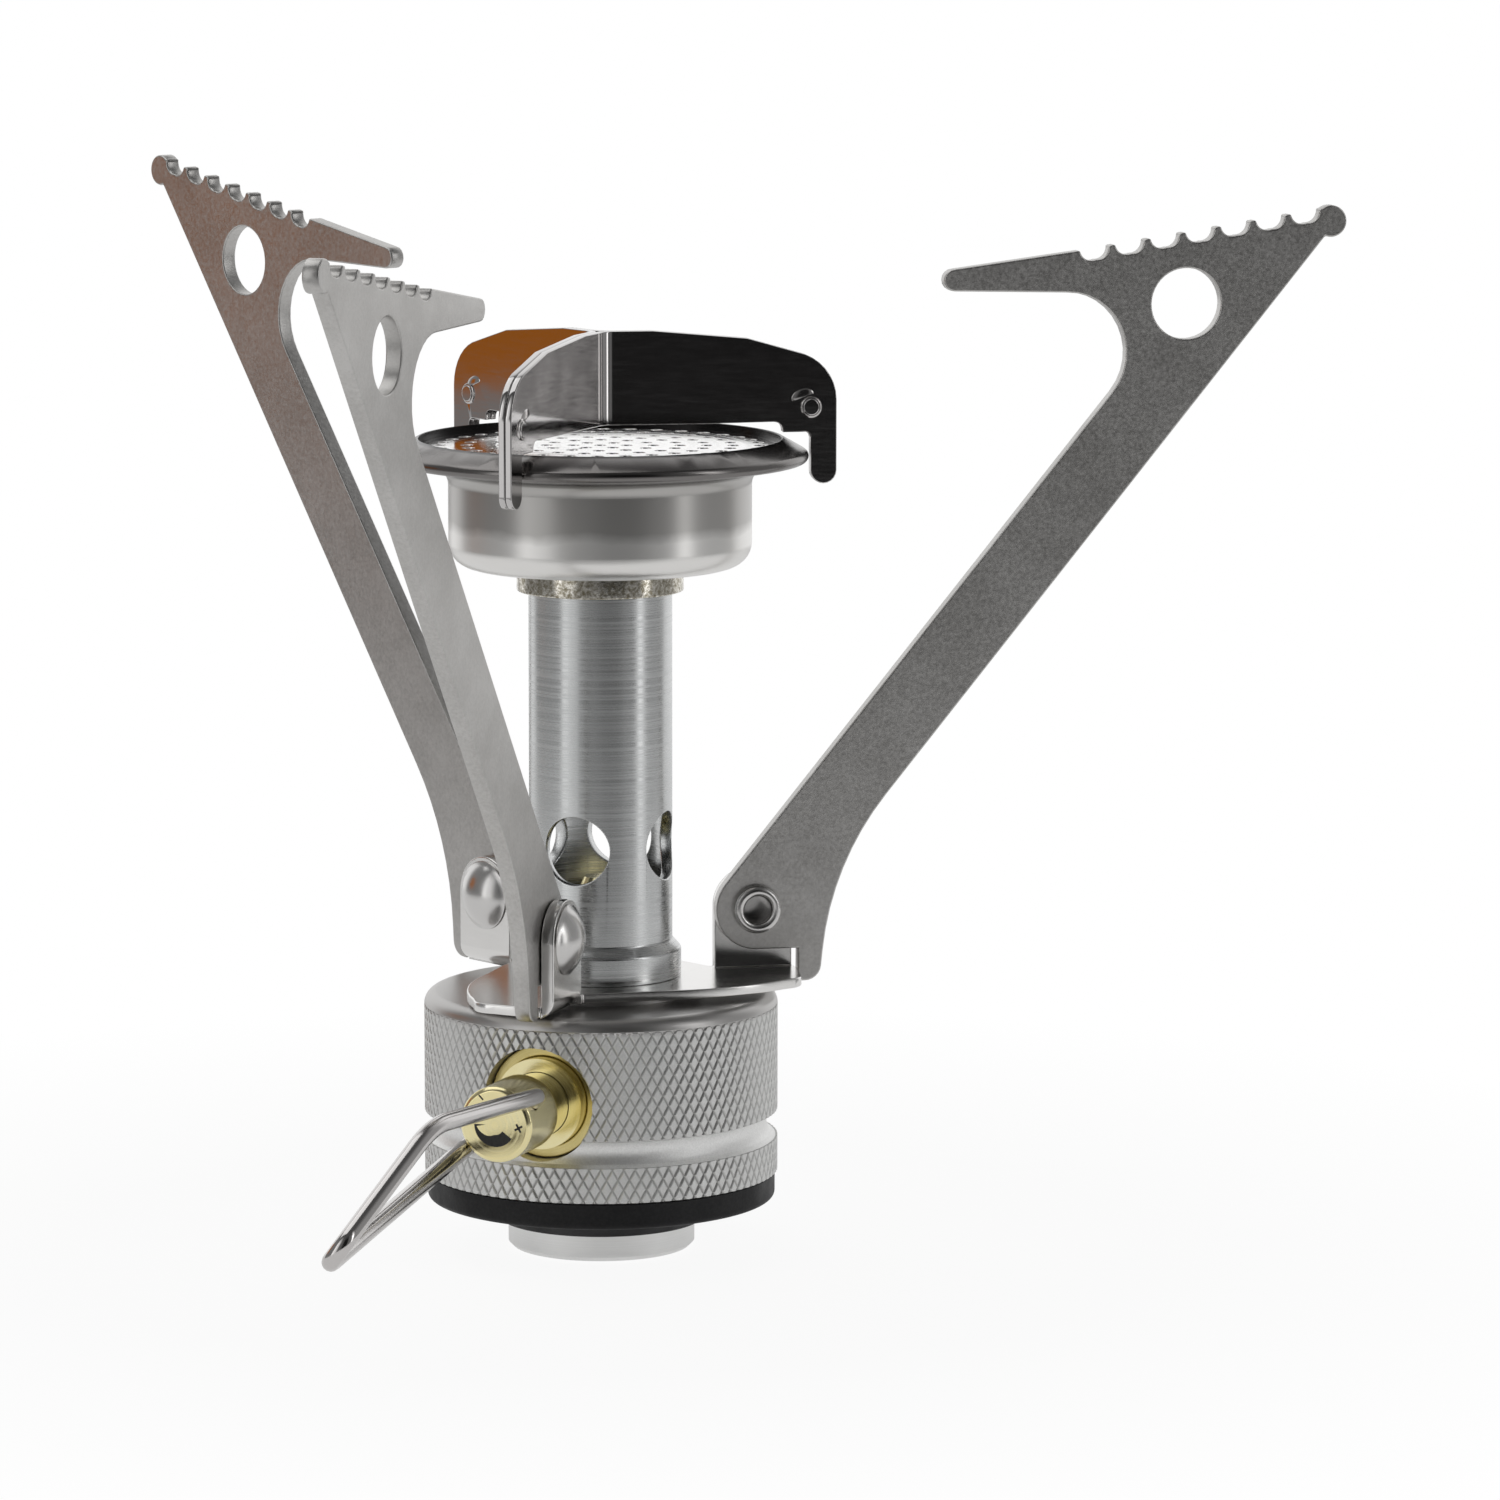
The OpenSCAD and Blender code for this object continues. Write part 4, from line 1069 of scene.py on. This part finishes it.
def signs():
    """Minus, plus and crescent in one piece, laid on the spindle's face."""
    bm = join([bar(**MINUS)] + [bar(**stroke) for stroke in PLUS] + [crescent(**CRESCENT)])
    face_middle = Vector((0, 0, spindle_place[2])) + spindle_axis * FACE_DISTANCE * MM
    turn = laid_along((UP.cross(spindle_axis), UP, spindle_axis), face_middle)
    bmesh.ops.transform(bm, matrix=turn, verts=bm.verts)
    return bm


finish_piece(signs(), "spindle_signs", "spindle", black_paint(), crease=30)

# %% [markdown]
# ## The wire handle
#
# Bent wire is a round section carried along a path. A poly curve with a bevel does that well: the
# path is given as corners, each corner is rounded with a few points, and the curve is turned into
# a mesh. Spinning a circle round each bend would work too, but the legs would have to be fitted.

# %% Wire handle
fold_joint = joint_named("handle_fold")
fold_place = Vector(fold_joint["pos_m"])
fold_axis = Vector(fold_joint["axis"]).normalized()
droop_side = fold_axis.cross(spindle_axis).normalized()
print("The wire's frame:", [[round(x, 3) for x in axis] for axis in (fold_axis, droop_side)])

WIRE_R = 0.79
HALF_GAP, KINK, LENGTH, DROOP = 4.35, 21.9, 36.1, 3.9
# Places in mm: towards the droop, along the fold axis, and out along the spindle.
WIRE_CORNERS = [(0, 1.0, 0), (0, HALF_GAP, 0), (-1.7, HALF_GAP, KINK),
                (DROOP - 0.75, -1.5, LENGTH), (DROOP, -4.0, LENGTH), (0, -HALF_GAP, 0),
                (0, -1.0, 0)]
SETBACKS = (1.2, 3.0, 1.2, 1.2, 1.2)         # where each bend starts, in mm from its corner


def rounded_path(corners, setbacks, steps=8):
    """Replaces each inner corner with a smooth bend that starts a setback away from it."""
    path = [corners[0]]
    for before, here, after, setback in zip(corners, corners[1:], corners[2:], setbacks):
        start = here + (before - here).normalized() * setback
        end = here + (after - here).normalized() * setback
        for i in range(steps + 1):
            t = i / steps
            path.append(start * (1 - t) ** 2 + here * 2 * t * (1 - t) + end * t ** 2)
    return path + [corners[-1]]


def wire_handle():
    """The bail of the valve: two pins, one kinked leg, a narrow loop and one straight leg."""
    path = rounded_path([Vector(place) for place in WIRE_CORNERS], SETBACKS)
    curve = bpy.data.curves.new("wire path", "CURVE")
    curve.dimensions = "3D"
    curve.bevel_depth = WIRE_R * MM
    curve.bevel_resolution = 6
    curve.use_fill_caps = True
    line = curve.splines.new("POLY")
    line.points.add(len(path) - 1)
    for point, (n, c, s) in zip(line.points, path):
        offset = droop_side * n + fold_axis * c + spindle_axis * s
        point.co = (*(fold_place + offset * MM), 1)
    rod = bpy.data.objects.new("wire path", curve)
    bpy.context.scene.collection.objects.link(rod)
    bm = bmesh.new()
    bm.from_mesh(evaluated_mesh(rod))
    bpy.data.objects.remove(rod)
    bmesh.ops.remove_doubles(bm, verts=bm.verts, dist=MERGE)
    bmesh.ops.recalc_face_normals(bm, faces=bm.faces)
    piece = finish_piece(bm, "bent_wire", "handle", wire_finish, crease=50)
    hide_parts("wire_handle")


wire_handle()
